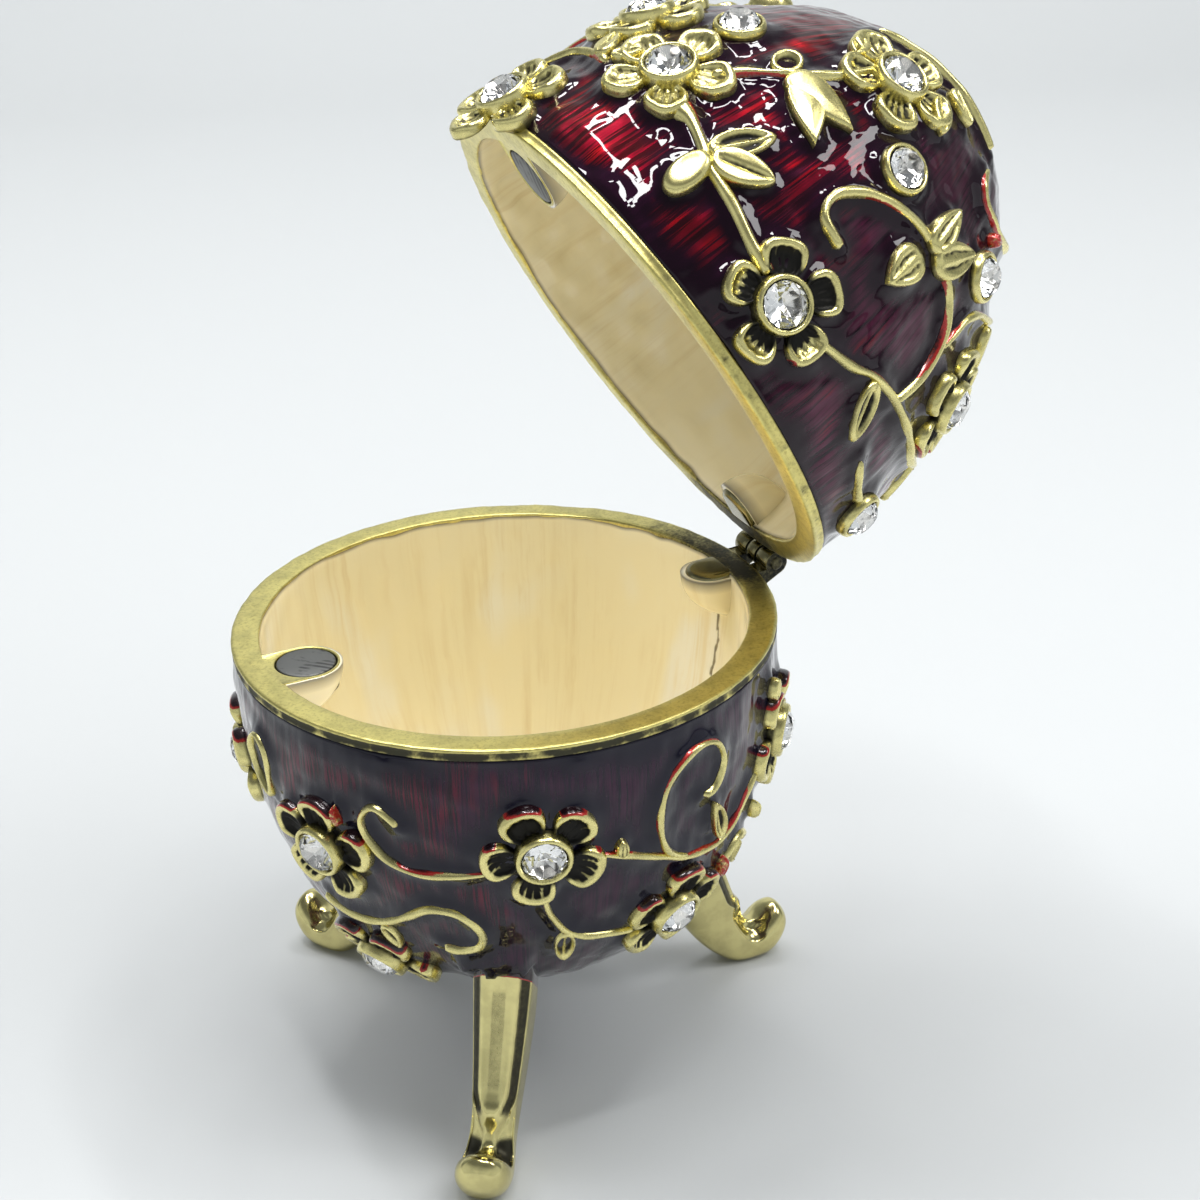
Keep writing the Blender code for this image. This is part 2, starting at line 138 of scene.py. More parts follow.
class EggFace:
    # the outer or inner face of one half, its rim at height 0 and its pole at sign * depth
    def __init__(self, name, side):
        self.name = name
        self.sign, self.body, self.matrix = halves[name]
        self.depth, self.power, self.fullness = egg[name + side]
        self.radius = egg["rim" + side]

    def radiusAt(self, height):
        share = np.clip(height / self.depth, 0, 1)
        return self.radius * (1 - share ** self.power) ** self.fullness

    def heightAt(self, radius):
        share = np.clip(radius / self.radius, 0, 1)
        return self.depth * (1 - share ** (1 / self.fullness)) ** (1 / self.power)

    def points(self, azimuth, height):
        height = np.asarray(height, float)
        return spun(axes, np.radians(azimuth), self.radiusAt(height), self.sign * height)

    def outside(self, points):
        spread = np.hypot(points[..., 0], points[..., 1]) / self.radius
        height = np.maximum(0, points[..., 2] * self.sign) / self.depth
        return spread ** (1 / self.fullness) + height ** self.power - 1

    def normals(self, points):
        x, y, z = np.moveaxis(points, -1, 0)
        radius = np.maximum(1e-6, np.hypot(x, y))
        height = np.maximum(1e-9, z * self.sign) / self.depth
        outward = (radius / self.radius) ** (1 / self.fullness - 1) / (self.fullness * self.radius)
        upward = self.power * height ** (self.power - 1) / self.depth * self.sign
        made = np.stack([outward * x / radius, outward * y / radius, upward], -1)
        return made / np.linalg.norm(made, axis=-1, keepdims=True)

    def settle(self, start, outward):
        # where the lines from start along outward meet the face
        low, high = np.full(start.shape[:-1], -7.0), np.full(start.shape[:-1], 2.0)
        for step in range(26):
            middle = (low + high) / 2
            out = self.outside(start + outward * middle[..., None]) > 0
            low, high = np.where(out, low, middle), np.where(out, middle, high)
        return start + outward * ((low + high) / 2)[..., None]

    def place(self, azimuth, height):
        # centre, sideways, polewards and outward directions at a spot on the face
        centre = self.points(azimuth, height)
        outward = self.normals(centre)
        turn = math.radians(azimuth)
        sideways = np.array([-math.sin(turn), math.cos(turn), 0.0])
        polewards = np.cross(outward, sideways)
        return centre, sideways, polewards * np.sign(polewards[2] * self.sign), outward

    def drape(self, place, across, along, rise):
        centre, sideways, polewards, outward = place
        start = centre + across[..., None] * sideways + along[..., None] * polewards
        point = self.settle(start, outward)
        return point + self.normals(point) * rise[..., None]

    def evenHeights(self, count, firstHeight, lastRadius):
        # heights that part the curve from the rim to the pole into even steps
        coarse = np.linspace(0, 1, 1500)
        heights = np.sort([*coarse * self.depth, *self.heightAt(coarse * self.radius)])
        heights = heights[(heights >= firstHeight) & (heights <= self.heightAt(lastRadius))]
        steps = np.hypot(np.diff(heights), np.diff(self.radiusAt(heights)))
        travelled = np.append(0, np.cumsum(steps))
        return np.interp(np.linspace(0, travelled[-1], count), travelled, heights)


bowlFace, lidFace = (EggFace(name, "Outer") for name in halves)
bowlInside, lidInside = (EggFace(name, "Inner") for name in halves)


def added(name, data):
    # a new object in the scene
    item = bpy.data.objects.new(name, data)
    bpy.context.scene.collection.objects.link(item)
    return item


class Casting:
    # gathers rings of points into one mesh, with the values that its finish reads
    def __init__(self, *valueNames):
        self.points = []
        self.faces = []
        self.values = {name: [] for name in valueNames}
        self.total = 0

    def add(self, points, faces):
        self.faces += faces
        self.points.append(points)
        self.total += len(points)

    def rings(self, rows, capFirst=False, capLast=False, flip=False, **values):
        rows = np.asarray(rows, float)
        shape = rows.shape[:2]
        index = self.total + np.arange(shape[0] * shape[1]).reshape(shape)
        after = np.roll(index, -1, axis=1)
        quads = np.stack([index[:-1], after[:-1], after[1:], index[1:]], -1).reshape(-1, 4)
        faces = quads[:, ::-1 if flip else 1].tolist()
        if capFirst:
            faces.append(index[0, ::1 if flip else -1].tolist())
        if capLast:
            faces.append(index[-1, ::-1 if flip else 1].tolist())
        self.add(rows.reshape(-1, 3), faces)
        for name, kept in self.values.items():
            kept.append(np.broadcast_to(values.get(name, 0.0), shape).reshape(-1))

    def finish(self, name, half, paint, slotName, stands=(), sharp=None, closedBody=True):
        mesh = bpy.data.meshes.new(name)
        matrix, body = np.array(half.matrix), half.body
        points = np.vstack(self.points) * millimetre @ matrix[:3, :3].T + matrix[:3, 3]
        mesh.from_pydata(points.tolist(), [], self.faces)
        for valueName, kept in self.values.items():
            attribute = mesh.attributes.new(valueName, "FLOAT", "POINT")
            attribute.data.foreach_set("value", np.concatenate(kept).astype(np.float32))
        if closedBody:
            working = bmesh.new()
            working.from_mesh(mesh)
            bmesh.ops.recalc_face_normals(working, faces=working.faces)
            working.to_mesh(mesh)
            working.free()
        mesh.shade_smooth()
        if sharp is not None:
            mesh.set_sharp_from_angle(angle=math.radians(sharp))
        mesh.materials.append(paint)
        item = added(name, mesh)
        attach(item, body)
        if stands:
            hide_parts(*stands)
        return item


# Finishes

class Wire:
    # a node's output that takes part in sums
    def __init__(self, board, socket):
        self.board = board
        self.socket = socket

    def __add__(self, other):
        return self.board.maths("ADD", self, other)

    def __sub__(self, other):
        return self.board.maths("SUBTRACT", self, other)

    def __rsub__(self, other):
        return self.board.maths("SUBTRACT", other, self)

    def __mul__(self, other):
        return self.board.maths("MULTIPLY", self, other)

    __radd__ = __add__
    __rmul__ = __mul__


class Board:
    # lays nodes in one tree
    def __init__(self, tree):
        self.tree = tree

    def feed(self, socket, value):
        if isinstance(value, Wire):
            self.tree.links.new(value.socket, socket)
        else:
            socket.default_value = value

    def node(self, kind, settings, sockets, output=0):
        made = self.tree.nodes.new(kind)
        for name, value in settings.items():
            setattr(made, name, value)
        for key, value in sockets.items():
            self.feed(made.inputs[key], value)
        return Wire(self, made.outputs[output])

    def maths(self, operation, first, second):
        return self.node("ShaderNodeMath", {"operation": operation}, {0: first, 1: second})

    def step(self, low, high, value):
        return self.node("ShaderNodeMapRange", {"interpolation_type": "SMOOTHSTEP"},
                         {"Value": value, "From Min": low, "From Max": high})

    def value(self, name):
        return self.node("ShaderNodeAttribute", {"attribute_name": name}, {}, output=2)

    def place(self):
        # where a spot is on the piece at rest, in millimetres
        found = self.node("ShaderNodeTexCoord", {}, {}, output=3)
        return self.node("ShaderNodeVectorMath", {"operation": "SCALE"}, {0: found, 3: 1000.0})

    def wall(self, stretch, wander=None):
        # where a spot is round the egg's wall, with its height drawn together
        around = [self.value("aroundX"), self.value("aroundY")]
        if wander:
            around = [way + wander for way in around]
        return self.node("ShaderNodeCombineXYZ", {}, {
            0: around[0], 1: around[1], 2: self.value("height") * stretch})

    def noise(self, vector, scale, detail=2.0, roughness=0.5):
        return self.node("ShaderNodeTexNoise", {}, {
            "Vector": vector, "Scale": scale, "Detail": detail, "Roughness": roughness})

    def mix(self, factor, first, second):
        colours = [shade if isinstance(shade, Wire) else (*shade, 1.0) for shade in (first, second)]
        return self.node("ShaderNodeMix", {"data_type": "RGBA"},
                         {0: factor, 6: colours[0], 7: colours[1]}, output=2)

    def bump(self, height, strength, distance):
        return self.node("ShaderNodeBump", {}, {
            "Strength": strength, "Distance": distance * millimetre, "Height": height})


class Finish(Board):
    # one material: its nodes, and the plain values of its shader
    def __init__(self, name, **values):
        self.material = bpy.data.materials.new(name)
        self.material.use_nodes = True
        super().__init__(self.material.node_tree)
        self.coat(**values)

    def coat(self, **values):
        shader = self.tree.nodes["Principled BSDF"]
        for socketName, value in values.items():
            self.feed(shader.inputs[socketName.replace("_", " ")], value)
        return self.material


def makeEnamel(name, dark, plum, red, bright, redShare, pool, fineness):
    # glossy red enamel over a combed base: the combing shows red where light comes back through
    finish = Finish(name, Coat_Weight=1.0, Coat_Roughness=0.02, Coat_IOR=1.42,
                    Specular_IOR_Level=0.0)
    # painted light: the painted glow value brightens and reddens the enamel on the side of the
    # catch, standing in for the lamps' light there
    paintedGlow = finish.value("paintedGlow")
    combing = finish.noise(finish.wall(0.035), fineness, 3.0, 0.6)
    patches = finish.noise(finish.wall(0.5), 0.3, 2.0, 0.6)
    spots = finish.noise(finish.wall(0.3), 0.7, 1.0)
    pooled = finish.step(0.55, pool, finish.value("relief") + (patches - 0.5) * 2.4)
    lit = finish.step(0.66 - redShare, 0.82 - redShare, patches + (paintedGlow - 0.5) * 0.5)
    glow = finish.step(0.46, 0.56, combing) * lit
    ground = finish.mix(finish.step(0.28, 0.62, combing), dark, plum)
    ground = finish.mix(lit * paintedGlow, ground, [share * 0.16 for share in red])
    fire = finish.mix(finish.step(0.52, 0.66, spots) * paintedGlow, red, bright)
    colour = finish.mix(glow * pooled, finish.mix(pooled, dark, ground), fire)
    return finish.coat(Base_Color=colour, Roughness=0.40 - glow * 0.06,
                       Metallic=0.5 + pooled * 0.45, Normal=finish.bump(combing, 0.5, 0.06))


def makeBrass(name, bright, dark, shine, mottle, grit=0.0):
    # cast brass: bright on what stands proud, dark in the hollows, red where enamel ran over it
    finish = Finish(name)
    place = finish.place()
    cloud = finish.noise(place, 0.55, 3.0, 0.6)
    speck = finish.noise(place, 3.6, 2.0, 0.6)
    grain = finish.noise(place, 3.4, 3.0, 0.7)
    patina = finish.step(0.35, 1.0, finish.value("hollow")
                         + ((cloud - 0.5) + (speck - 0.5)) * mottle)
    dull = [share * 0.82 for share in bright]
    brown = (bright[0] * 0.42, bright[1] * 0.38, bright[2] * 0.3)
    metal = finish.mix(finish.step(0.35, 0.65, cloud), bright, dull)
    metal = finish.mix(finish.step(0.45, 0.75, grain) * grit, metal, brown)
    metal = finish.mix(patina, metal, dark)
    spread = finish.value("stain") + (speck - 0.5) * 0.4 + (cloud - 0.5) * 0.3
    red = finish.step(0.5, 0.62, spread)
    pool = finish.mix(finish.step(0.75, 1.1, spread), (0.40, 0.016, 0.01), (0.012, 0.0008, 0.003))
    cast = finish.bump(speck * 0.25 + cloud + grain * grit, 0.03 + 0.3 * mottle + 0.2 * grit, 0.05)
    return finish.coat(
        Base_Color=finish.mix(red, metal, pool), Metallic=1.0 - red * 0.6, Coat_Weight=red * 0.9,
        Roughness=shine + patina * 0.2 + (speck - 0.5) * 0.1 + (grain - 0.5) * grit * 0.3,
        Normal=cast)


def makeCream():
    # cream pearl enamel with soft tan runs down the wall
    finish = Finish("creamPearl", Coat_Weight=1.0, Coat_Roughness=0.05, IOR=1.5)
    wander = finish.noise(finish.wall(0.7), 0.3, 2.0) * 1.2
    lined = finish.wall(0.04, wander)
    run = finish.noise(lined, 0.62, 3.0, 0.6)
    thin = finish.noise(lined, 2.2, 2.0, 0.6)
    fade = finish.noise(finish.wall(0.6), 0.16, 1.0)
    tan = (finish.step(0.44, 0.72, run) * 0.65 + finish.step(0.52, 0.78, thin) * 0.25
           ) * finish.step(0.3, 0.62, fade)
    pearl = finish.step(0.5, 0.68, finish.noise(finish.wall(0.6), 0.11, 2.0))
    colour = finish.mix(pearl, (0.98, 0.88, 0.60), (0.97, 0.93, 0.80))
    colour = finish.mix(tan, colour, (0.82, 0.67, 0.37))
    # low relief values turn it dark brown: bare metal at the lining's edge and down the crack, and
    # painted shade under the bosses' lips
    bare = finish.step(0.05, 0.5, finish.value("relief"))
    return finish.coat(Base_Color=finish.mix(bare, (0.16, 0.13, 0.075), colour),
                       Roughness=0.4 - tan * 0.12, Normal=finish.bump(run, 0.2, 0.08))


def makeSteel():
    # scratched grey plating, dark at the rim of the disc
    finish = Finish("magnetSteel")
    place = finish.place()
    lines = finish.node(
        "ShaderNodeTexWave", {"wave_type": "BANDS", "bands_direction": "DIAGONAL"},
        {"Vector": place, "Scale": 0.85, "Distortion": 1.6, "Detail": 2.0, "Detail Scale": 0.5}, 1)
    cloud = finish.noise(place, 0.5, 3.0, 0.6)
    worn = finish.step(0.25, 0.75, lines) * finish.step(0.44, 0.56, cloud)
    colour = finish.mix(worn, (0.17, 0.172, 0.165), (0.075, 0.075, 0.075))
    colour = finish.mix(finish.step(0.5, 1.0, finish.value("hollow")), colour, (0.02, 0.02, 0.02))
    return finish.coat(Base_Color=colour, Metallic=1.0, Roughness=0.42 + cloud * 0.15,
                       Normal=finish.bump(lines * worn, 0.3, 0.03))


def makeCloudy(name, scale, detail, first, second, roughness, spread, **values):
    # soft clouds of two colours and of roughness
    finish = Finish(name, **values)
    cloud = finish.noise(finish.place(), scale, detail)
    return finish.coat(Base_Color=finish.mix(cloud, first, second),
                       Roughness=roughness + cloud * spread)


# dark, plum, red and bright red, how much is red, how far it pools and how fine it is combed; the
# lid's copy is painted brighter and redder than the bowl's, partly as painted light from the lamps
# above
redEnamel = {
    "lid": makeEnamel("redEnamelLid", (0.007, 0.0006, 0.005), (0.085, 0.010, 0.036),
                      (0.15, 0.001, 0.009), (0.29, 0.0015, 0.005), 0.24, 2.7, 3.1),
    "bowl": makeEnamel("redEnamelBowl", (0.003, 0.002, 0.011), (0.036, 0.005, 0.026),
                       (0.08, 0.003, 0.018), (0.12, 0.004, 0.02), 0.15, 3.0, 4.2),
}
# bright and dark metal, roughness, how mottled and how gritty it is
reliefBrass = makeBrass("reliefBrass", (0.86, 0.77, 0.33), (0.025, 0.024, 0.022), 0.27, 0.3)
rimBrass = makeBrass("rimBrass", (0.78, 0.69, 0.25), (0.07, 0.067, 0.045), 0.36, 0.5, 0.5)
legBrass = makeBrass("legBrass", (0.76, 0.68, 0.31), (0.05, 0.047, 0.033), 0.2, 0.16)
# painted shade: the hinge's brass is a much darker copy of the brass, for the open lid's shadow
# over the hinge
shadedHingeBrass = makeBrass("shadedHingeBrass", (0.27, 0.24, 0.12), (0.014, 0.015, 0.016), 0.2, 0.5)
cream, steel = makeCream(), makeSteel()
# clear cut glass, and the bright foil behind it
crystal = makeCloudy("crystalClear", 0.8, 1.0, (0.98, 0.98, 0.97), (1.0, 1.0, 1.0), 0.0, 0.01,
                     Transmission_Weight=1.0, IOR=1.6)
foil = makeCloudy("stoneFoil", 1.6, 2.0, (0.74, 0.72, 0.69), (1.0, 0.97, 0.93), 0.08, 0.2,
                  Metallic=1.0)
print("finishes made")


# Relief: flowers, leaves and vines stand on the enamel

flower = {
    "petals": 5,
    "petalCentre": 3.3,
    "petalLong": 1.55,         # half the length and half the width of a petal
    "petalWide": 1.76,
    "petalProfile": ((1.0, -0.6), (1.0, 0.3), (0.985, 0.72), (0.95, 1.0), (0.89, 1.16),
                     (0.81, 1.2), (0.72, 1.12), (0.64, 0.88), (0.55, 0.62), (0.43, 0.5),
                     (0.3, 0.46), (0.16, 0.44), (0.03, 0.44)),
    "sideLip": 0.66,           # the lip's height beside the stone, against its outer end
    "dishShift": 0.62,         # the dish lies this much nearer the stone than the petal's middle
    "veinDepth": 0.07,
    "veinSpacing": 0.62,
    "bezel": ((2.34, -0.6), (2.32, 0.6), (2.27, 1.1), (2.19, 1.36), (2.08, 1.47), (1.96, 1.47),
              (1.86, 1.38), (1.78, 1.14), (1.74, 0.2), (0.02, 0.12)),
    "singleBezel": ((2.1, -0.6), (2.08, 0.4), (2.04, 0.72), (1.97, 0.92), (1.87, 1.0),
                    (1.77, 1.0), (1.69, 0.93), (1.62, 0.75), (1.6, -0.25), (0.02, -0.3)),
    "singleShare": 0.91,       # a single stone's size beside one in a flower, and how much deeper
    "singleDrop": 0.32,
    "petalCover": 1.6,         # how far round their middles petals and seats cover the wall
    "seatCover": 2.4,
    "around": 48,
    "overhang": 0.3,           # petals past the rim clear the bowl's band by this,
    "overhangBelow": 0.35,     # wherever they lie lower than this
    "turnSpread": 4,           # how unevenly the petals are set and how they differ in size
    "reachSpread": 0.1,
    "sizes": (0.94, 1.05),
    "goldEnd": 0.85,           # how bare the outer ends are on the lid's rimward petals
    "piled": (-0.3, 0.2),      # how much red enamel lies against a petal, and less on the lid
    "lidPiled": -0.45,
    "tarnished": 0.9,          # flowers over this are dark, hold red enamel and have round petals
    # how dark the dishes of each flower's petals are, where they aren't fully dark: partly patina,
    # partly painted shade, lighter on the lid flowers that face the lamps
    "tarnish": {"lid_upper": 0.06, "lid_thumb": 0.2, "lid_crown": 0.3, "lid_back_crown": 0.4,
                "lid_back_upper": 0.5},
    # how far each flower is turned, and the stones that stand alone
    "turns": {
        "bowl": {"front": 102, "right": 90, "right_low": 60, "left": 60, "left_low": 20,
                 "back": 78, "back_right": 90, "back_left": 120},
        "lid": {"side": 66, "upper": 32, "crown": 20, "hinge_side": 50, "thumb": 54, "back": 114,
                "back_upper": 100, "back_crown": 160, "single_crown": None,
                "single_upper": None, "single_hinge": None, "single_rim": None},
    },
}


def stonePlace(node, half):
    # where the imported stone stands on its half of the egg
    corners = np.array([corner.co for corner in frame["nodes"][node].data.vertices])
    middle = np.array(half.matrix.inverted() @ Vector(corners.mean(0))) / millimetre
    foot = middle
    for step in range(5):
        foot = half.settle(middle, half.normals(foot))
    return half.place(math.degrees(math.atan2(foot[1], foot[0])), abs(foot[2]))


def mound(casting, half, place, middle, turn, outline, profile, detail, hollow, stain=0.0,
          shift=0.0, overhang=None):
    # a raised shape of rings that shrink from its outline to its middle
    scales, rises = np.array(profile).T[..., None]
    u = outline[0] * scales - shift * (1 - scales)
    v = outline[1] * scales
    rise = rises + detail(u, v, scales)
    across = middle[0] + u * math.cos(turn) - v * math.sin(turn)
    along = middle[1] + u * math.sin(turn) + v * math.cos(turn)
    if overhang is not None:
        flat = half.drape(place, across[0], along[0], 0 * along[0])
        low = flat[:, 2] * half.sign < flower["overhangBelow"]
        rise[0] = np.where(low, overhang, rises[0])
        rise[1:] = np.where(low, np.maximum(rise[1:], overhang + 0.05), rise[1:])
    casting.rings(half.drape(place, across, along, rise), capFirst=True, capLast=True,
                  hollow=hollow(u, v, scales), stain=stain)


def addPetals(casting, half, place, turn, seed, tarnish, overhang):
    draw = np.random.default_rng(seed)
    dark = tarnish > flower["tarnished"]
    around = evenTurns(flower["around"])
    cosine, sine = np.cos(around), np.sin(around)
    # an outer end that is a little pointed, a little hollow or plain round
    point = 0.2 * draw.uniform(-0.5, 1.0) + 0.3 * (not dark)
    outline = np.stack([
        flower["petalLong"] * rounded(cosine, 0.92) + point * np.maximum(0, cosine) ** 10,
        flower["petalWide"] * rounded(sine, 0.86) * (1 + 0.17 * cosine)])
    lowered = 1.1 * (1 - flower["sideLip"]) * (smoothStep(-0.7, 0.6, cosine) - 1)
    walls = np.interp(np.arange(len(flower["petalProfile"])), (2, 3, 4, 5), (1.5, 1.1, 0.66, 0.0))

    def wave(u, v):
        return np.cos(turnRound * v / (flower["veinSpacing"] * (0.7 + 0.2 * (u + 1.4))))

    def veins(u, v, scale):
        inDish = smoothStep(0.8, 0.62, scale) * smoothStep(0.05, 0.3, scale)
        return (smoothStep(0.4, 0.72, scale) * lowered
                + inDish * wave(u, v) * flower["veinDepth"])

    def hollow(u, v, scale):
        ridge = smoothStep(-0.1, 0.8, wave(u, v))
        outer = smoothStep(-0.4, 0.9, u + 0.3 * np.sin(7 * v + seed))
        dish = (smoothStep(0.75, 0.64, scale) * tarnish * (1.1 - bare * ridge * outer)
                * (1 - goldEnd * smoothStep(-0.35, 0.35, u)))
        groove = (smoothStep(0.7, 0.1, ridge) * (scale < 0.72)
                  * (0.75 - 0.5 * tarnish + 0.3 * goldEnd))
        skirt = (np.arange(len(scale))[:, None] < 2) * 0.7
        root = smoothStep(0.0, -0.9, u) * 0.95 * tarnish * (scale > 0.6)
        return np.clip(dish + groove + root + skirt, 0, 1.3)

    for petal in range(flower["petals"]):
        heading = math.radians(turn + 360 / flower["petals"] * petal
                               + flower["turnSpread"] * draw.uniform(-1, 1))
        reach = flower["petalCentre"] + flower["reachSpread"] * draw.uniform(-1, 1)
        size = draw.uniform(*flower["sizes"])
        facingDown = math.sin(heading) * half.sign < 0.1
        bare = draw.uniform(0.35, 0.95) if facingDown else draw.uniform(0.0, 0.4)
        goldEnd = flower["goldEnd"] if facingDown and half.sign > 0 and dark else 0.0
        # enamel lies against the walls that face the rim
        rimward = -np.sin(heading + around) * smoothStep(-0.3, 0.3, cosine)
        amount = draw.uniform(*flower["piled"]) + (0 if half.sign < 0 else flower["lidPiled"])
        mound(casting, half, place, (reach * math.cos(heading), reach * math.sin(heading)), heading,
              outline * size, flower["petalProfile"], veins, hollow,
              walls[:, None] * smoothStep(0.2, 0.8, rimward + amount) * dark,
              flower["dishShift"], overhang)


def addBezel(casting, half, place, single, tarnish, overhang):
    radii, rises = np.array(flower["singleBezel" if single else "bezel"]).T[..., None]
    around = evenTurns(flower["around"])
    rise = rises + 0 * around
    if overhang is not None:
        low = spun(place, around, radii, 0.0)[..., 2] * half.sign < flower["overhangBelow"]
        rise = np.where(low, np.maximum(rise, overhang + 0.2), rise)
    casting.rings(spun(place, around, radii, rise), capFirst=True, capLast=True,
                  hollow=np.where(rises > rises.max() - 0.4, 0.1, 0.3 + 0.5 * tarnish))


stone = {
    "radius": 1.74,
    "girdle": (1.2, 1.3),
    "table": 2.0,
    "tableRadius": 1.0,
    "starRise": 1.74,
    "starRadius": 1.4,
    "pavilion": 0.22,          # the point of the back, over the enamel
    "facets": 8,
    "foilGap": 0.04,
    "foilShort": 0.02,         # how far the foil's edge stays inside the stone's
}


def addStone(casting, place, turn, size, foilCasting):
    # a round cut stone: table, eight kites and sixteen girdle facets over an eight-sided point
    count = stone["facets"]
    low, high = stone["girdle"]
    flats = np.tile((math.cos(math.pi / count), 1.0), count)
    parts = {}
    points = []

    def ring(number, radius, rise, offset=0.0):
        return spun(place, turn + evenTurns(number, offset), size * radius, rise)

    def at(part, index=0):
        first, number = parts[part]
        return first + index % number

    for part, made in (("table", ring(count, stone["tableRadius"], stone["table"], 0.5)),
                       ("star", ring(count, stone["starRadius"], stone["starRise"])),
                       ("upper", ring(2 * count, stone["radius"], high)),
                       ("lower", ring(2 * count, stone["radius"] * flats, low)),
                       ("point", ring(1, 0.0, stone["pavilion"]))):
        parts[part] = casting.total + len(points), len(made)
        points += [*made]
    faces = [[at("table", index) for index in range(count)]]
    for index in range(count):
        girdle = 2 * index
        faces += [
            [at("table", index - 1), at("star", index), at("table", index)],
            [at("table", index), at("star", index), at("upper", girdle + 1)],
            [at("table", index), at("upper", girdle + 1), at("star", index + 1)],
            [at("star", index), at("upper", girdle), at("upper", girdle + 1)],
            [at("star", index), at("upper", girdle - 1), at("upper", girdle)],
            [at("lower", girdle - 1), at("point"), at("lower", girdle + 1), at("lower", girdle)]]
    faces += [[at("upper", index), at("lower", index), at("lower", index + 1),
               at("upper", index + 1)] for index in range(2 * count)]
    casting.add(points, faces)
    foilCasting.rings([ring(count, radius - stone["foilShort"], rise - stone["foilGap"], 0.5)
                       for radius, rise in ((stone["radius"], low), (0.03, stone["pavilion"]),
                                            (0.03, stone["pavilion"] - 0.05),
                                            (stone["radius"] - 0.3, low - 0.5))])


vine = {
    "width": {"bowl": 0.6, "lid": 0.78},
    "height": {"bowl": 0.72, "lid": 0.78},
    "unevenness": 0.09,
    "spacing": 0.3,
    "startLength": 2.5,        # the lengths over which it reaches and leaves its full thickness
    "endLength": 1.6,
    "endScale": 1.05,
    "tip": 0.35,               # the length over which its ends close
    "red": (0.4, 0.75),        # how red the enamel makes it, and how that changes along it
    "redWaves": (6.0, 0.35),
    "section": ((-1.15, -0.9), (-1.1, 0.1), (-0.95, 0.5), (-0.66, 0.82), (-0.24, 0.99),
                (0.24, 0.99), (0.66, 0.82), (0.95, 0.5), (1.1, 0.1), (1.15, -0.9)),
    # thickness and how thick it starts: as a rule, and for some routes
    "size": (1.0, 0.6),
    "sizes": {"upperToSide": (1.3, 2.0), "upperToCrown": (1.0, 1.2), "hookScroll": (1.1, 0.8),
              "sideToHinge": (1.0, 1.0), "leftStem": (1.2, 0.8), "lowerStem": (0.9, 0.9),
              "leftLoop": (0.75, 0.8)},
}


def addVine(casting, half, route, width, startScale, seed):
    draw = np.random.default_rng(seed)
    line, travelled = smoothLine(half.points(*np.transpose(route)), vine["spacing"])
    normals = half.normals(line)
    line = half.settle(line + normals * 0.5, normals)
    normals = half.normals(line)
    along = np.gradient(line, axis=0)
    along /= np.linalg.norm(along, axis=1, keepdims=True)
    side = np.cross(normals, along)
    fromEnd = travelled[-1] - travelled
    scale = 1 + vine["unevenness"] * ripples(seed, 3.0, 6)(line)
    for share, length, away in ((startScale, vine["startLength"], travelled),
                                (vine["endScale"], vine["endLength"], fromEnd)):
        scale *= share + (1 - share) * smoothStep(0, length, away)
    ending = np.sqrt(np.clip(fromEnd / vine["tip"], 0.02, 1)
                     * np.clip(travelled / vine["tip"], 0.02, 1))
    sectionAcross, sectionRise = np.array(vine["section"]).T
    across = sectionAcross * (width / 2 * scale * ending)[:, None]
    rise = sectionRise * vine["height"][half.name]
    rise = np.where(rise > 0, rise * ((scale * 0.4 + 0.6) * ending)[:, None], rise)
    length, size = vine["redWaves"]
    redness = size * ripples(seed + 7, length, 5)(line) + draw.uniform(*vine["red"])
    facing = smoothStep(0.3, 0.9, sectionAcross * draw.choice((-1, 1)))
    # the vine's low sides are dark: patina, and painted shade along its foot where it meets the
    # enamel
    hollow = np.interp(sectionRise, (-0.9, 0.1, 0.55, 0.8), (1.2, 1.0, 0.35, 0.0))
    casting.rings(
        line[:, None] + side[:, None] * across[..., None] + normals[:, None] * rise[..., None],
        capFirst=True, capLast=True, hollow=hollow * (1 - 0.7 * facing),
        stain=np.clip(redness[:, None] * facing, 0, 1))
    return line


def leafKind(rings, grooves, depth, ends, hollow=(0.1, *[0.0] * 6)):
    # rings from the skirt to the middle, how tarnished each ring is, the grooves or the ridge
    # along it, and how blunt its tip and its root are
    return {"profile": ((1.0, -0.5), *rings), "hollow": (0.9, 0.5, *hollow), "grooves": grooves,
            "depth": depth, "ends": ends}


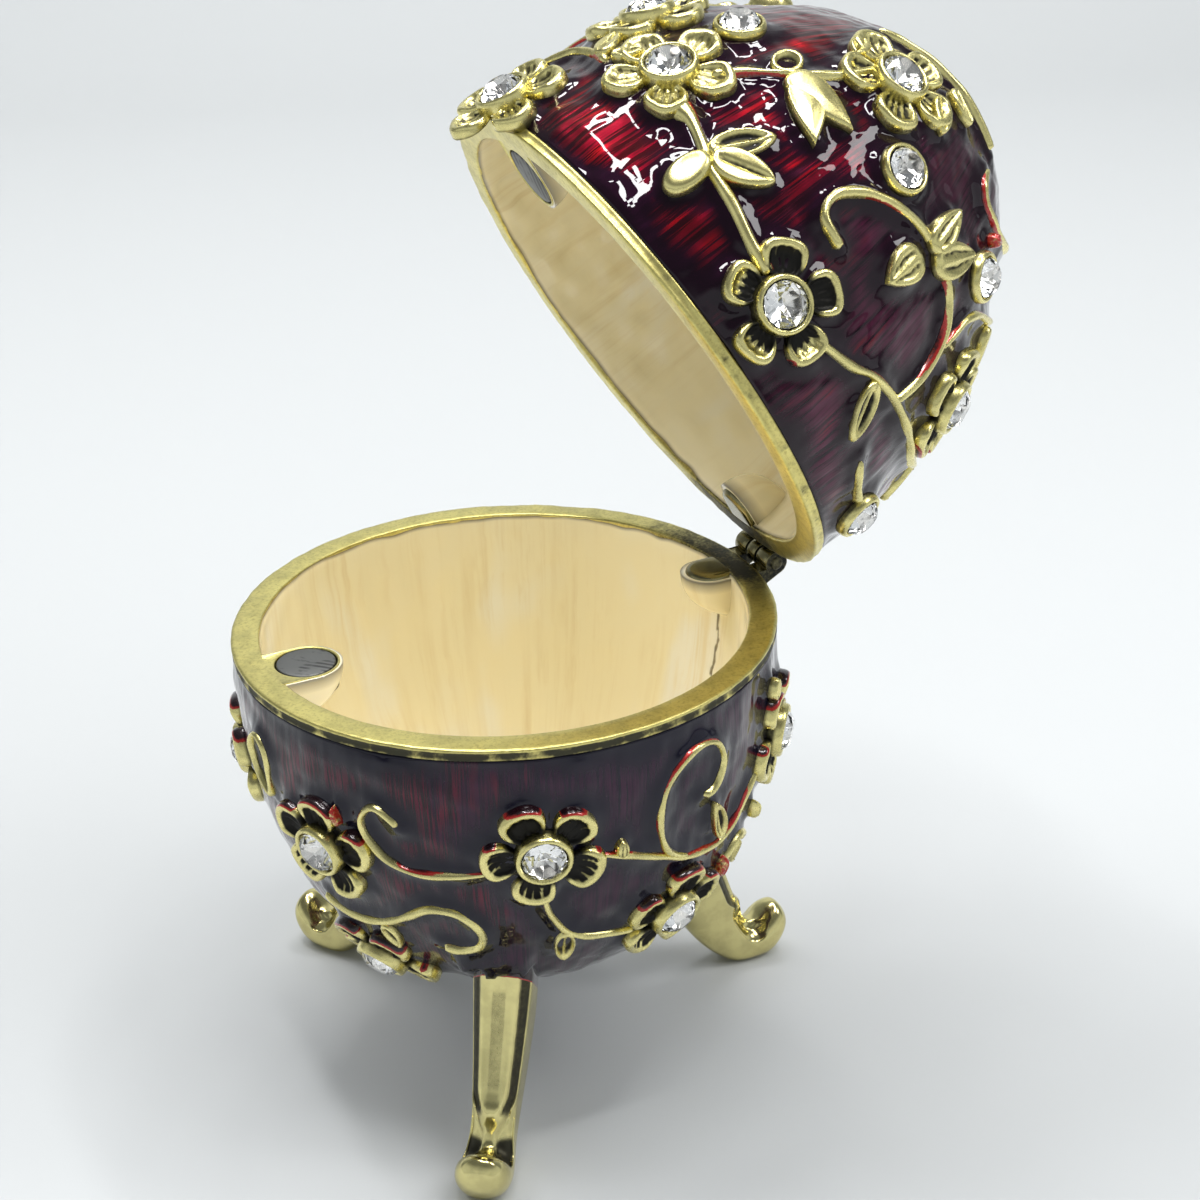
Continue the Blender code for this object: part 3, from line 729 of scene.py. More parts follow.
leaf = {
    "open": leafKind(((1.0, 0.4), (0.96, 0.72), (0.87, 0.82), (0.76, 0.72), (0.64, 0.42),
                      (0.44, 0.30), (0.15, 0.28), (0.03, 0.28)), (0.0,), -0.22, (0.66, 0.5),
                     (0.0, 0.0, 0.2, 0.9, 1.1, 1.1, 1.1)),
    "solid": leafKind(((1.0, 0.5), (0.965, 0.8), (0.89, 0.98), (0.78, 1.02), (0.6, 0.98),
                       (0.4, 0.96), (0.2, 0.96), (0.03, 0.96)), (0.0,), 0.26, (0.66, 0.46)),
    "lobed": leafKind(((1.0, 0.5), (0.965, 0.8), (0.89, 1.0), (0.78, 1.08), (0.6, 1.06),
                       (0.4, 1.04), (0.2, 1.04), (0.03, 1.04)), (-0.36, 0.36), 0.3, (0.85, 0.42)),
    "ring": leafKind(((1.0, 0.4), (0.96, 0.72), (0.85, 0.84), (0.7, 0.76), (0.58, 0.3),
                      (0.4, 0.16), (0.15, 0.14), (0.03, 0.14)), (), 0.0, (0.5, 0.5),
                     (0.0, 0.0, 0.1, 0.9, 1.2, 1.2, 1.2)),
    "flat": leafKind(((1.0, 0.5), (0.97, 0.76), (0.92, 0.88), (0.82, 0.93), (0.6, 0.95),
                      (0.4, 0.98), (0.2, 1.02), (0.03, 1.04)), (), 0.0, (1.0, 0.4)),
    "blunt": leafKind(((1.0, 0.5), (0.96, 0.84), (0.86, 1.08), (0.7, 1.2), (0.5, 1.24),
                       (0.3, 1.24), (0.15, 1.24), (0.03, 1.24)), (), 0.0, (0.45, 0.5)),
    "bud": leafKind(((1.0, 0.4), (0.94, 0.76), (0.8, 1.02), (0.6, 1.16), (0.4, 1.2),
                     (0.2, 1.22), (0.1, 1.22), (0.03, 1.22)), (-0.3, 0.35), 0.16, (0.6, 0.5)),
}


def addLeaf(casting, half, base, tip, width, kind, stain):
    look = leaf[kind]
    ends = half.points(*np.transpose([base, tip]))
    middle = ends.mean(0)
    place = half.place(math.degrees(math.atan2(middle[1], middle[0])), abs(middle[2]))
    centre, sideways, polewards, outward = place
    run = (ends[1] - ends[0]) @ sideways, (ends[1] - ends[0]) @ polewards
    halfLength = math.hypot(*run) / 2
    tipPower, rootPower = look["ends"]
    widest = (rootPower - tipPower) / (rootPower + tipPower)
    full = width / 2 / ((1 - widest) ** tipPower * (1 + widest) ** rootPower)

    def halfWidth(share):
        # from -1 at the root to 1 at the tip
        return full * np.clip(1 - share, 0, 2) ** tipPower * np.clip(1 + share, 0, 2) ** rootPower

    def groove(u, v, scale):
        local = halfWidth(np.clip(u / halfLength, -0.98, 0.98))
        cut = [np.exp(-((v / local - across) / 0.15) ** 2) for across in look["grooves"]]
        return sum(cut, 0 * v) * smoothStep(0.9, 0.72, scale)

    def veins(u, v, scale):
        return -look["depth"] * groove(u, v, scale)

    def hollow(u, v, scale):
        return np.array(look["hollow"])[:, None] + 0.95 * math.copysign(1, look["depth"]) * groove(
            u, v, scale)

    around = evenTurns(36)
    share = np.cos(around)
    mound(casting, half, place, ((middle - centre) @ sideways, (middle - centre) @ polewards),
          math.atan2(run[1], run[0]),
          (halfLength * share, np.sign(np.sin(around)) * halfWidth(share)), look["profile"],
          veins, hollow, stain)


def mirrored(route):
    return [(-azimuth, height) for azimuth, height in route]


# azimuths and heights that each vine runs through
bowlVines = {
    "leftScroll": (
        (-115, 10.8), (-118, 11), (-125, 11.4), (-133, 11.5), (-139, 10.7), (-143, 9),
        (-144, 7.5), (-142.5, 6.3), (-140, 5.8), (-137, 6.6), (-135.5, 7.3)),
    "rightStem": (
        (-97, 10.1), (-90, 11), (-85, 11.8), (-80, 12.6), (-75, 13.5), (-70, 14), (-62, 14.2),
        (-57, 13), (-53, 11), (-47, 9.3)),
    "rightScroll": (
        (-73, 13.6), (-77, 12.9), (-80, 11.8), (-82, 9.5), (-82, 7.5), (-80.5, 5.5), (-77, 4),
        (-72.5, 3.3), (-68, 3.8), (-65.5, 5.5), (-66, 7), (-68, 8), (-71, 8.3)),
    "lowerStem": (
        (-107, 13.8), (-106, 15.5), (-104, 17), (-102, 18), (-98, 19), (-92, 19.5), (-84, 20)),
    "leftStem": (
        (-163, 17.6), (-160, 18.3), (-150, 18.6), (-143, 17.8), (-137, 16.5), (-132, 15.4),
        (-127, 15.4), (-123, 16.5), (-121, 18), (-122, 19.4), (-127, 20.1), (-131, 19.7)),
    "leftLoop": (
        (-172, 9.5), (-176.5, 8.0), (-178, 6.0), (-176, 4.4), (-173, 4.0), (-170.5, 5.2),
        (-170.8, 7.6), (-172, 9.5)),
    "rightLow": ((-62, 19.6), (-56, 17.8), (-50, 16.6), (-44, 17.4), (-38, 19.4)),
    "hingeStem": (
        (-29, 8.8), (-20, 10.6), (-10, 11.4), (0, 11.6), (10, 11.4), (20, 10.6), (29, 8.8)),
    "backScroll": (
        (115, 10.8), (125, 11.4), (133, 11.5), (139, 10.7), (143, 9), (144, 7.5), (142.5, 6.3),
        (140, 5.8), (137, 6.6)),
    "backStem": (
        (97, 10.1), (90, 11), (80, 12.6), (70, 14), (62, 14.2), (57, 13), (53, 11), (47, 9.3)),
    "backLower": ((107, 13.8), (104, 17), (98, 19), (90, 19.6), (84, 18.6), (81, 16.8), (83, 15.6)),
    "backSide": (
        (162, 17.4), (156, 19.2), (147, 19.6), (138, 18.4), (131, 17.4), (126, 18.6), (128, 20.2)),
}
hookScroll = (
    (-75, 10), (-73.5, 13), (-75, 16), (-80, 18), (-88, 19), (-95, 19.2), (-103, 18.9), (-110, 18),
    (-116, 16.5), (-119, 14.5), (-117, 12.8), (-110, 12.3))
lidVines = {
    "upperToSide": (
        (-154, 9.9), (-151, 9.9), (-148, 9.8), (-142, 9), (-138, 8.3), (-130, 7.8), (-122, 7),
        (-115, 6.6)),
    "upperToCrown": (
        (-156, 13.5), (-153, 15.5), (-150, 17), (-147, 18.5), (-144, 20), (-141, 22),
        (-139, 24.6)),
    "hookScroll": hookScroll,
    "sideToHinge": (
        (-99, 6.9), (-97, 7.2), (-90, 8.2), (-85, 9.3), (-78, 10), (-70, 10.3), (-60, 10.4),
        (-50, 10.4), (-40, 11.2), (-30, 12.6), (-20, 14.5), (-10, 16)),
    "hingeArc": (
        (-73.5, 15.8), (-72, 18), (-70, 19.5), (-64, 21), (-55, 22), (-45, 23), (-35, 23.4),
        (-26, 22.6)),
    "rimStem": ((-70, 5.6), (-66, 4.9), (-62, 4.5), (-58, 4.3)),
    "crownStem": (
        (-90, 28.3), (-90, 26.8), (-86, 26.1), (-80, 26), (-72, 26.2), (-62, 26.8), (-50, 27.4)),
    "thumbStem": ((167, 5.6), (169, 7.4), (172, 8.8), (178, 9.3), (-175, 9.2)),
    "overCrown": ((-157.7, 28.2), (-148, 29.6), (-137.5, 30.4), (-112, 30.8), (-88.3, 30)),
    "backToUpper": ((117, 6.6), (124, 7.6), (132, 8.6), (142, 9.6), (150, 11), (158, 13)),
    "backToCrown": ((162, 18.2), (156, 20), (150, 22), (144, 24.4)),
    "backScroll": mirrored(hookScroll),
    "backToHinge": (
        (97, 7.2), (90, 8.2), (78, 10), (70, 10.3), (60, 10.4), (50, 11), (40, 12.4), (30, 14.2),
        (20, 15.6), (8, 16.2), (-6, 16.2)),
    "backArc": ((73.5, 15.8), (70, 19), (62, 21.4), (52, 22.8), (42, 23)),
}
# root, tip, width, kind and how red each leaf is
bowlLeaves = (
    ((-62.5, 13.8), (-67, 9.6), 1.5, "open", 0.2),
    ((-102.3, 17.9), (-102, 21.6), 1.7, "open", 0.0),
    ((-145, 18.2), (-142.5, 20.8), 1.3, "open", 0.1),
    ((-148.6, 8.2), (-150.0, 6.6), 0.45, "bud", 0.62),
    ((-47, 19.6), (-50, 16.8), 1.3, "open", 0.2),
    ((-44, 15.8), (-45, 14.0), 0.9, "bud", 0.5),
    ((-57.0, 19.0), (-57, 17.0), 1.0, "bud", 0.62),
    ((-44, 4.6), (-44, 2.6), 1.5, "solid", 0.45),
    ((-91, 10.8), (-91, 9.2), 1.1, "bud", 0.3),
    ((0, 11.4), (0, 8.2), 1.5, "solid", 0.1),
    ((62.5, 13.8), (67, 9.6), 1.5, "open", 0.2),
    ((102.3, 17.4), (108, 20.6), 1.6, "solid", 0.0),
    ((145, 19.4), (142, 22), 1.4, "solid", 0.1),
)
lidLeaves = (
    ((-141, 9.0), (-135.5, 13.8), 2.3, "open", 0.0),
    ((-139.5, 8.8), (-128, 11.3), 2.8, "solid", 0.0),
    ((-140, 8.9), (-138.8, 4.5), 2.5, "blunt", 0.0),
    ((-149, 17.6), (-151.5, 20.2), 2.3, "ring", 0.0),
    ((-147, 18.2), (-127.5, 18.9), 3.1, "flat", 0.0),
    ((-144, 18.6), (-129.5, 15.6), 3.0, "flat", 0.0),
    ((-95, 18.7), (-95.5, 22.9), 2.5, "lobed", 0.0),
    ((-92, 18.3), (-83, 22.2), 3.0, "lobed", 0.1),
    ((-97.2, 17.6), (-98.2, 13.8), 3.1, "lobed", 0.0),
    ((-84, 9.3), (-76.8, 5.3), 1.9, "open", 0.2),
    ((-175, 9.6), (-171, 11.6), 1.6, "solid", 0.1),
    ((-178, 9.2), (176, 12.0), 1.8, "solid", 0.1),
    ((-77, 24.8), (-73, 25.3), 1.2, "bud", 0.62),
    ((-122, 29.4), (-107, 28.6), 1.7, "solid", 0.0),
    ((-122, 27.6), (-113, 25.4), 1.8, "solid", 0.0),
    ((-150, 25.6), (-145, 23.8), 1.7, "solid", 0.0),
    ((-52, 22.0), (-46, 19.2), 1.6, "solid", 0.2),
    ((-37, 11.6), (-33, 8.0), 1.6, "open", 0.1),
    ((137.5, 9.0), (139, 13.2), 1.9, "solid", 0.0),
    ((132, 8.4), (128, 5.0), 1.7, "solid", 0.0),
    ((95, 18.9), (95.5, 22.9), 1.9, "solid", 0.0),
    ((91, 18.9), (81.5, 23.0), 1.8, "solid", 0.1),
    ((84, 9.3), (76.8, 5.3), 1.9, "open", 0.2),
    ((30, 14.2), (32, 18.4), 1.7, "solid", 0.0),
    ((8, 16.2), (4, 12.4), 1.7, "solid", 0.0),
)


def sprigs(half, routes, leaves, seed):
    # the vines and leaves of one half, and the spots they cover
    vines, foliage = Casting("hollow", "stain"), Casting("hollow", "stain")
    covered = []
    for number, (label, route) in enumerate(routes.items()):
        share, startScale = vine["sizes"].get(label, vine["size"])
        width = vine["width"][half.name] * share
        line = addVine(vines, half, route, width, startScale, seed + number)
        covered.append((line, np.full(len(line), width / 2)))
    for base, tip, width, kind, stain in leaves:
        addLeaf(foliage, half, base, tip, width, kind, stain)
        spots = half.points(*np.linspace(base, tip, 6)[1:5].T)
        covered.append((spots, width * np.array([0.38, 0.46, 0.4, 0.22])))
    vines.finish(half.name + "_vines", half, reliefBrass, "antique_brass")
    foliage.finish(half.name + "_leaves", half, reliefBrass, "antique_brass")
    return covered


def flowers(half, seed):
    # the flowers, set stones and foils of one half, the spots they cover and the stones' seats
    covered, seats, foils = [], [], Casting()
    for number, (label, turn) in enumerate(flower["turns"][half.name].items()):
        name = half.name + "_" + label
        place = stonePlace("stone_" + name, half)
        single = turn is None
        size, drop = (flower["singleShare"], flower["singleDrop"]) if single else (1.0, 0.0)
        # partly patina, partly painted shade: the dishes are painted darker on flowers away from
        # the lamps
        tarnish = flower["tarnish"].get(name, 1.0)
        overhang = flower["overhang"] if label == "thumb" else None
        casting = Casting("hollow", "stain")
        if not single:
            addPetals(casting, half, place, turn, seed + number, tarnish, overhang)
            petals = evenTurns(flower["petals"]) + math.radians(turn)
            across, along = flower["petalCentre"] * np.array([np.cos(petals), np.sin(petals)])
            spots = half.drape(place, across, along, 0 * along)
            covered.append((spots, np.full(len(spots), flower["petalCover"])))
        addBezel(casting, half, place, single, tarnish, overhang)
        seats.append((place[0][None], [flower["seatCover"] * size]))
        casting.finish(("bezel_" if single else "flower_") + name, half, reliefBrass,
                       "antique_brass")
        jewel = Casting()
        centre, *ways = place
        addStone(jewel, (centre - drop * ways[2], *ways), seed + number, size, foils)
        jewel.finish("crystal_" + name, half, crystal, "crystal",
                     ["stone_" + name]).data.shade_flat()
    foils.finish(half.name + "_stone_foils", half, foil, "crystal",
                 closedBody=False).data.shade_flat()
    return covered, seats


# the spots that relief covers and the stones' seats, for each half
relief = {}
for half, routes, leaves, seed in ((bowlFace, bowlVines, bowlLeaves, 100),
                                   (lidFace, lidVines, lidLeaves, 300)):
    covered = sprigs(half, routes, leaves, seed)
    petals, seats = flowers(half, seed + 100)
    relief[half.name] = covered + petals, seats
print("relief and stones made")


# Enamel walls

enamel = {
    "around": 600,
    "down": 150,
    "bandStep": 0.16,          # the enamel stands this far inside the bare band
    # seed, length, height and squeeze of its waves, the last of them along the combing
    "waves": ((0, 6.0, 0.055, 1), (1, 2.4, 0.026, 1), (2, 1.3, 0.009, 1), (9, 0.8, 0.009, 0.12)),
    "climb": 0.34,             # how far it climbs the relief
    "climbReach": 0.62,
    "glow": (0.15, 0.85),      # painted light: how much painted glow it has everywhere, and more on the side of the catch, as if the lamps lit that side most
    "poleHole": 0.15,
    "seatDrop": 1.2,           # how far it stays below the stones' backs
    "legReach": (19.6, 22.4),  # from where to where it runs over the tops of the legs
    "legSide": (3.6, 2.2),     # how far from a leg's middle it starts to and fully covers it
    "legThick": 0.85,
    "legTop": (16.4, -25.4, 2.5),    # where a leg meets the wall, and how much of it is covered
}


def reliefDistance(points, covered):
    # how far each point is outside the nearest covered spot
    spots, radii = (np.concatenate(each).astype(np.float32) for each in zip(*covered))
    flat = points.reshape(-1, 3).astype(np.float32)
    nearest = []
    for start in range(0, len(flat), 3000):
        part = flat[start:start + 3000]
        square = (part ** 2).sum(1)[:, None] + (spots ** 2).sum(1) - 2 * part @ spots.T
        nearest.append((np.sqrt(np.maximum(square, 0)) - radii).min(1))
    return np.concatenate(nearest).reshape(points.shape[:-1]).astype(float)


def onWall(half, turn, height):
    # the values that tell a wall's finish where it is
    return {"aroundX": half.radius * np.cos(turn), "aroundY": half.radius * np.sin(turn),
            "height": height}


def enamelWall(half, seed, legTurns=()):
    covered, seats = relief[half.name]
    azimuth = np.linspace(-180, 180, enamel["around"], endpoint=False)
    turn = np.radians(azimuth)
    heights = half.evenHeights(
        enamel["down"], egg["bandHeight"] + 0.06, enamel["poleHole"])[:, None]
    base = half.points(azimuth, heights)
    normals = half.normals(base)
    fromSeat = reliefDistance(base, seats)
    distance = np.minimum(reliefDistance(base, covered), fromSeat)
    lift = enamel["climb"] * np.exp(-(np.maximum(distance, 0) / enamel["climbReach"]) ** 1.4)
    for number, length, size, squeeze in enamel["waves"]:
        lift += size * ripples(seed + number, length, 20)(base * (1, 1, squeeze))
    fromBand = heights - heights[0]
    lift = lift * smoothStep(0, 0.8, fromBand) - enamel["bandStep"] * smoothStep(3.0, 0, fromBand)
    # over the tops of the legs the enamel runs down a little way and ends in a ragged edge
    start, end = enamel["legReach"]
    ragged = ripples(seed + 11, 1.5, 12)(base * (1, 1, 0.1))
    legRadius = half.radiusAt(end + 0.1)
    for legTurn in legTurns:
        aside = np.abs(wayRound(turn, legTurn)) * legRadius
        lift += (enamel["legThick"] * smoothStep(*enamel["legSide"], aside)
                 * smoothStep(start, end, heights)
                 * smoothStep(end + 0.6, end + 0.3, heights + 0.25 * ragged))
    lift -= enamel["seatDrop"] * smoothStep(-0.6, -1.2, fromSeat)
    distance = np.minimum(distance, 0.8 * fromBand + 0.4 + 0.5 * ripples(seed + 13, 9.0)(base))
    # one more ring is tucked in under the band
    doubled = np.r_[0, :len(heights)]
    rows = (base + normals * lift[..., None])[doubled]
    rows[0] -= normals[0] * 0.7
    values = onWall(half, turn, heights[doubled])
    values["relief"] = distance[doubled]
    values["paintedGlow"] = enamel["glow"][0] + enamel["glow"][1] * smoothStep(98, 140, np.abs(azimuth))
    casting = Casting(*values)
    casting.rings(rows, capLast=True, flip=half.sign < 0, **values)
    casting.finish(half.name + "_enamel", half, redEnamel[half.name], "enamelled_casting",
                   [half.name], closedBody=False)


legAngles = {}
for label in ("leg_front", "leg_hinge", "leg_back"):
    low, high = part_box(label)
    middle = bowlFace.matrix.inverted() @ ((low + high) / 2)
    legAngles[label] = math.atan2(middle.y, middle.x)
legReach, legHeight, legCover = enamel["legTop"]
relief["bowl"][0].append((spun(axes, [*legAngles.values()], legReach, legHeight), [legCover] * 3))
enamelWall(bowlFace, 500, legAngles.values())
enamelWall(lidFace, 520)
print("enamel walls made")


# Rims, linings and catch

rim = {
    "around": 480,
    # radius, drop from the face and how dark, round the band from inside to outside
    "profile": ((20.45, 1.9, 0.5), (20.18, 0.16, 0.3), (20.22, 0.05, 0.1), (20.34, 0.0, 0.3),
                (20.9, -0.01, 0.33), (21.6, 0.0, 0.33), (22.2, 0.0, 0.28), (22.38, 0.04, 0.0),
                (22.48, 0.12, 0.0), (22.49, 0.22, 0.3), (22.45, 0.34, 0.95), (22.42, 0.5, 1.0),
                (22.43, 0.66, 1.05), (22.45, 0.78, 0.95), (22.46, 0.88, 0.8), (22.42, 0.97, 0.9),
                (22.3, 1.04, 1.0), (21.8, 1.1, 1.0)),
    "outerFrom": 22,           # rings over this radius belong to the band
    "waves": (7.0, 1.6),
    "unevenness": 0.03,
    "chips": 170,
    "chipSpread": (0.006, 0.018),
    "hingeDark": 0.62,
    "bandDark": {"bowl": 1.0, "lid": 0.35},
}


def levelPlace(half, x=0.0):
    # a spot in the plane of the rim, from which depths count into the half
    return axes[0] + (x, 0, 0), axes[1], axes[2], half.sign * axes[3]


def rimRing(half, seed):
    turn = evenTurns(rim["around"])
    waver, fine = (ripples(seed + number, length, 16) for number, length in enumerate(rim["waves"]))
    # small chips along the band, where the plating is worn
    draw = np.random.default_rng(seed + 2)
    chips = np.zeros(rim["around"])
    for chip in draw.uniform(0, turnRound, rim["chips"]):
        depth, spread = draw.uniform(-1.0, 1.0), draw.uniform(*rim["chipSpread"])
        chips += depth * np.exp(-(wayRound(turn, chip) / spread) ** 2)
    # the face darkens beside the hinge: partly patina, partly painted shade where the open lid
    # shades it
    beside = wayRound(turn)
    hingePatinaAndShade = rim["hingeDark"] * np.where(beside > 0, smoothStep(0.75, 0.1, beside),
                                        smoothStep(-0.36, -0.1, beside))
    radius, drop, dark = np.array(rim["profile"]).T[..., None]
    outer = radius > rim["outerFrom"]
    ring = spun(levelPlace(half), turn, radius, drop)
    worn = rim["unevenness"] * np.abs(waver(ring) + 0.5 * fine(ring))
    rows = spun(levelPlace(half), turn, radius - 0.9 * worn * (drop < drop[0]),
                drop + worn * np.where(outer & (drop < 0.3), 0.6, 0.25))
    banded = outer & (drop > 0.15) & (drop < 1.0)
    dark = dark * np.where(banded, rim["bandDark"][half.name], 1.0) + hingePatinaAndShade
    casting = Casting("hollow", "stain")
    casting.rings(rows, hollow=dark + banded * (0.24 * chips + 0.14 * fine(rows)))
    casting.finish(half.name + "_rim", half, rimBrass, "enamelled_casting", closedBody=False)


lining = {
    "around": 420,
    "down": 90,
    "thick": 0.14,
    "thinnest": 0.03,
    "poleHole": 0.15,
    "edge": 0.2,
    "edgeWaves": ((8.0, 0.05), (2.2, 0.015)),    # lengths and heights
    "edgeRound": 0.18,
    # azimuth, depth and spread of the drips along its edge
    "drips": ((35, 0.16, 3.2), (62, 0.05, 3.4), (96, 0.12, 3.8), (24, 0.2, 3.0), (-64, 0.1, 3.0),
              (-120, 0.12, 2.4)),
    "waves": {"bowl": (5.0, 0.05), "lid": (3.6, 0.10)},
    "crack": (0.5, 3.9, 12.0),    # azimuth, and the heights between which it runs
}


def addLining(casting, half, seed):
    azimuth = np.linspace(-180, 180, lining["around"], endpoint=False)
    turn = np.radians(azimuth)
    circle = spun(axes, turn, half.radius, 0.0)
    edge = lining["edge"] + 0 * turn
    for number, (length, size) in enumerate(lining["edgeWaves"]):
        edge += size * ripples(seed + number, length)(circle)
    for centre, depth, spread in lining["drips"]:
        away = np.degrees(wayRound(turn, math.radians(centre)))
        edge += depth * np.exp(-(away / spread) ** 2)
    heights = half.evenHeights(lining["down"], 0.0, lining["poleHole"])[:, None]
    depths = edge + heights * (half.depth - edge) / half.depth
    depths[-1] = heights[-1]
    base = half.points(azimuth, depths)
    fromEdge = depths - edge
    length, size = lining["waves"][half.name]
    thick = (lining["thick"] * np.sqrt(np.clip(fromEdge / lining["edgeRound"], 0, 1))
             + size * ripples(seed + 2, length)(base) * smoothStep(0, 1.5, fromEdge))
    crackTurn, crackTop, crackEnd = lining["crack"]
    wander = 0.16 * np.sin(depths * 1.1) + 0.1 * np.sin(depths * 2.7 + 1)
    aside = np.abs(np.radians(azimuth - crackTurn) * half.radiusAt(depths) + wander)
    crack = (smoothStep(crackTop - 0.3, crackTop, depths) * smoothStep(0.42, 0.14, aside)
             * smoothStep(crackEnd, crackEnd - 1, depths) * (half.sign < 0))
    thick = np.maximum(thick, lining["thinnest"]) * (1 - 0.9 * crack)
    rows = base - half.normals(base) * thick[..., None]
    casting.rings(rows, capLast=True, flip=half.sign > 0, **onWall(half, turn, depths),
                  relief=np.minimum(fromEdge + 0.12, 1 - 0.97 * crack))


boss = {
    "magnet": {"x": -17.3, "radius": 2.74, "root": -21.0, "depth": 4.3, "hole": 2.52,
               "edge": 0.1, "round": 0.04, "coat": 0.22},
    "hinge": {"x": 19.0, "radius": 2.0, "root": 21.2, "depth": 4.1, "hole": 0.0,
              "edge": 0.45, "round": 0.6, "coat": 0.42},
}


def bossOutline(shape, grow=0.0):
    # round towards the egg's axis, straight sides that run into the wall
    turn = evenTurns(60)
    radius = shape["radius"] + grow
    towardsWall = np.cos(turn) * np.sign(shape["x"])
    straight = np.minimum(radius / np.maximum(np.abs(np.sin(turn)), 1e-6),
                          abs(shape["root"] - shape["x"]) / np.maximum(towardsWall, 1e-6))
    return turn, np.where(towardsWall > 0, straight, radius)


def bossTop(casting, half, shape):
    # the bare flat of a boss, level with the rim
    turn, distance = bossOutline(shape)
    edge, ease = shape["edge"], shape["round"]
    hole = shape["hole"]
    rows = [(distance - pull, drop, dark) for pull, drop, dark in (
        (0.15, edge + 0.9, 0.8), (0.0, edge, 0.5), (0.0, ease, 0.3), (0.1 * ease, 0.5 * ease, 0.1),
        (0.35 * ease, 0.2 * ease, 0.1), (0.7 * ease, 0.05 * ease, 0.2), (ease, 0.012, 0.3))]
    if hole:
        rows += [(hole + 0.12, 0.012, 0.3), (hole + 0.03, 0.03, 0.3), (hole, 0.12, 0.8),
                 (hole, 2.1, 1.2)]
    else:
        rows += [(distance * 0.4, 0.012, 0.3), (distance * 0.02, 0.012, 0.3)]
    place = levelPlace(half, shape["x"])
    casting.rings([spun(place, turn, reach, drop) for reach, drop, dark in rows],
                  capLast=not hole, hollow=[[dark] for reach, drop, dark in rows])


def bossSide(casting, half, shape):
    # the cream coat below the flat, drawn back into the wall
    turn, distance = bossOutline(shape, shape["coat"])
    share = np.linspace(0, 1, 16)[:, None]
    depths = shape["edge"] + shape["depth"] * share
    pull = np.sqrt(1 - share ** 2.2)
    across = shape["x"] - shape["root"] + distance * np.cos(turn)
    rows = np.stack([shape["root"] + across * (0.02 + 0.98 * pull),
                     distance * np.sin(turn) * (0.45 + 0.55 * pull),
                     half.sign * depths + 0 * distance], -1)
    share = (shape["radius"] - 0.05) / (shape["radius"] + shape["coat"])
    inner = rows[:1] * (share, share, 1) + (shape["x"] * (1 - share), 0, 0)
    wallTurn = np.arctan2(rows[0, :, 1], rows[0, :, 0])
    # painted shade: just under the lip the cream is painted dark, fading down the side, as the
    # shadow beneath the lip
    relief = np.ones((len(rows) + 1, 1))
    relief[:6, 0] = 0.6, 0.14, 0.24, 0.3, 0.36, 0.44
    casting.rings(np.concatenate([inner, rows]), capLast=True, flip=half.sign < 0, relief=relief,
                  **onWall(half, wallTurn, np.concatenate([depths[:1], depths])))


magnet = {"radius": 2.4, "thick": 1.9, "drop": 0.03, "bevel": 0.12, "around": 64}


def magnetDisc(half):
    radius, bevel = magnet["radius"], magnet["bevel"]
    reach, down, hollow = np.array((
        (0.02, 0.0, 0), (0.35, 0.0, 0), (0.7, 0.0, 0), (radius - bevel, 0.0, 0),
        (radius - 0.03, 0.03, 0.2), (radius, bevel, 0.9), (radius, magnet["thick"], 1.2)
    )).T[..., None]
    casting = Casting("hollow")
    casting.rings(spun(levelPlace(half, boss["magnet"]["x"]), evenTurns(magnet["around"]), reach,
                       magnet["drop"] + down), capFirst=True, capLast=True, hollow=hollow)
    casting.finish(half.name + "_catch_magnet", half, steel, "magnet_steel",
                   ["magnet_" + half.name])


for face, inner, seed in ((bowlFace, bowlInside, 600), (lidFace, lidInside, 640)):
    rimRing(face, seed)
    casting = Casting("relief", "aroundX", "aroundY", "height")
    addLining(casting, inner, seed + 10)
    for shape in boss.values():
        bossSide(casting, inner, shape)
    casting.finish(face.name + "_lining", inner, cream, "enamelled_casting", closedBody=False)
    casting = Casting("hollow", "stain")
    bossTop(casting, inner, boss["magnet"])
    casting.finish(face.name + "_catch_seat", inner, rimBrass, "enamelled_casting",
                   closedBody=False)
    magnetDisc(face)
print("rims, linings and catch made")


# Hinge

hinge = {
    "barrel": 1.1,
    "sweep": (205, 275),       # where the barrel leaves its web, and how far it goes round
    "around": 40,
    "bevel": 0.14,
    "webRoot": 21.8,
    "webNear": 0.32,
    "webFar": 2.3,
    # from where to where each half's knuckles reach along the pin
    "spans": {"bowl": ((0.95, 2.75), (-2.75, -0.95)), "lid": ((-0.65, 0.65),)},
    # the rivet's profile: along it, as a share of its half length, and its radius
    "rivet": ((-1, 0.3), (-0.985, 0.5), (-0.95, 0.58), (-0.93, 0.45), (0.93, 0.45), (0.95, 0.58),
              (0.985, 0.5), (1, 0.3)),
    "rivetHalf": 2.9,
}


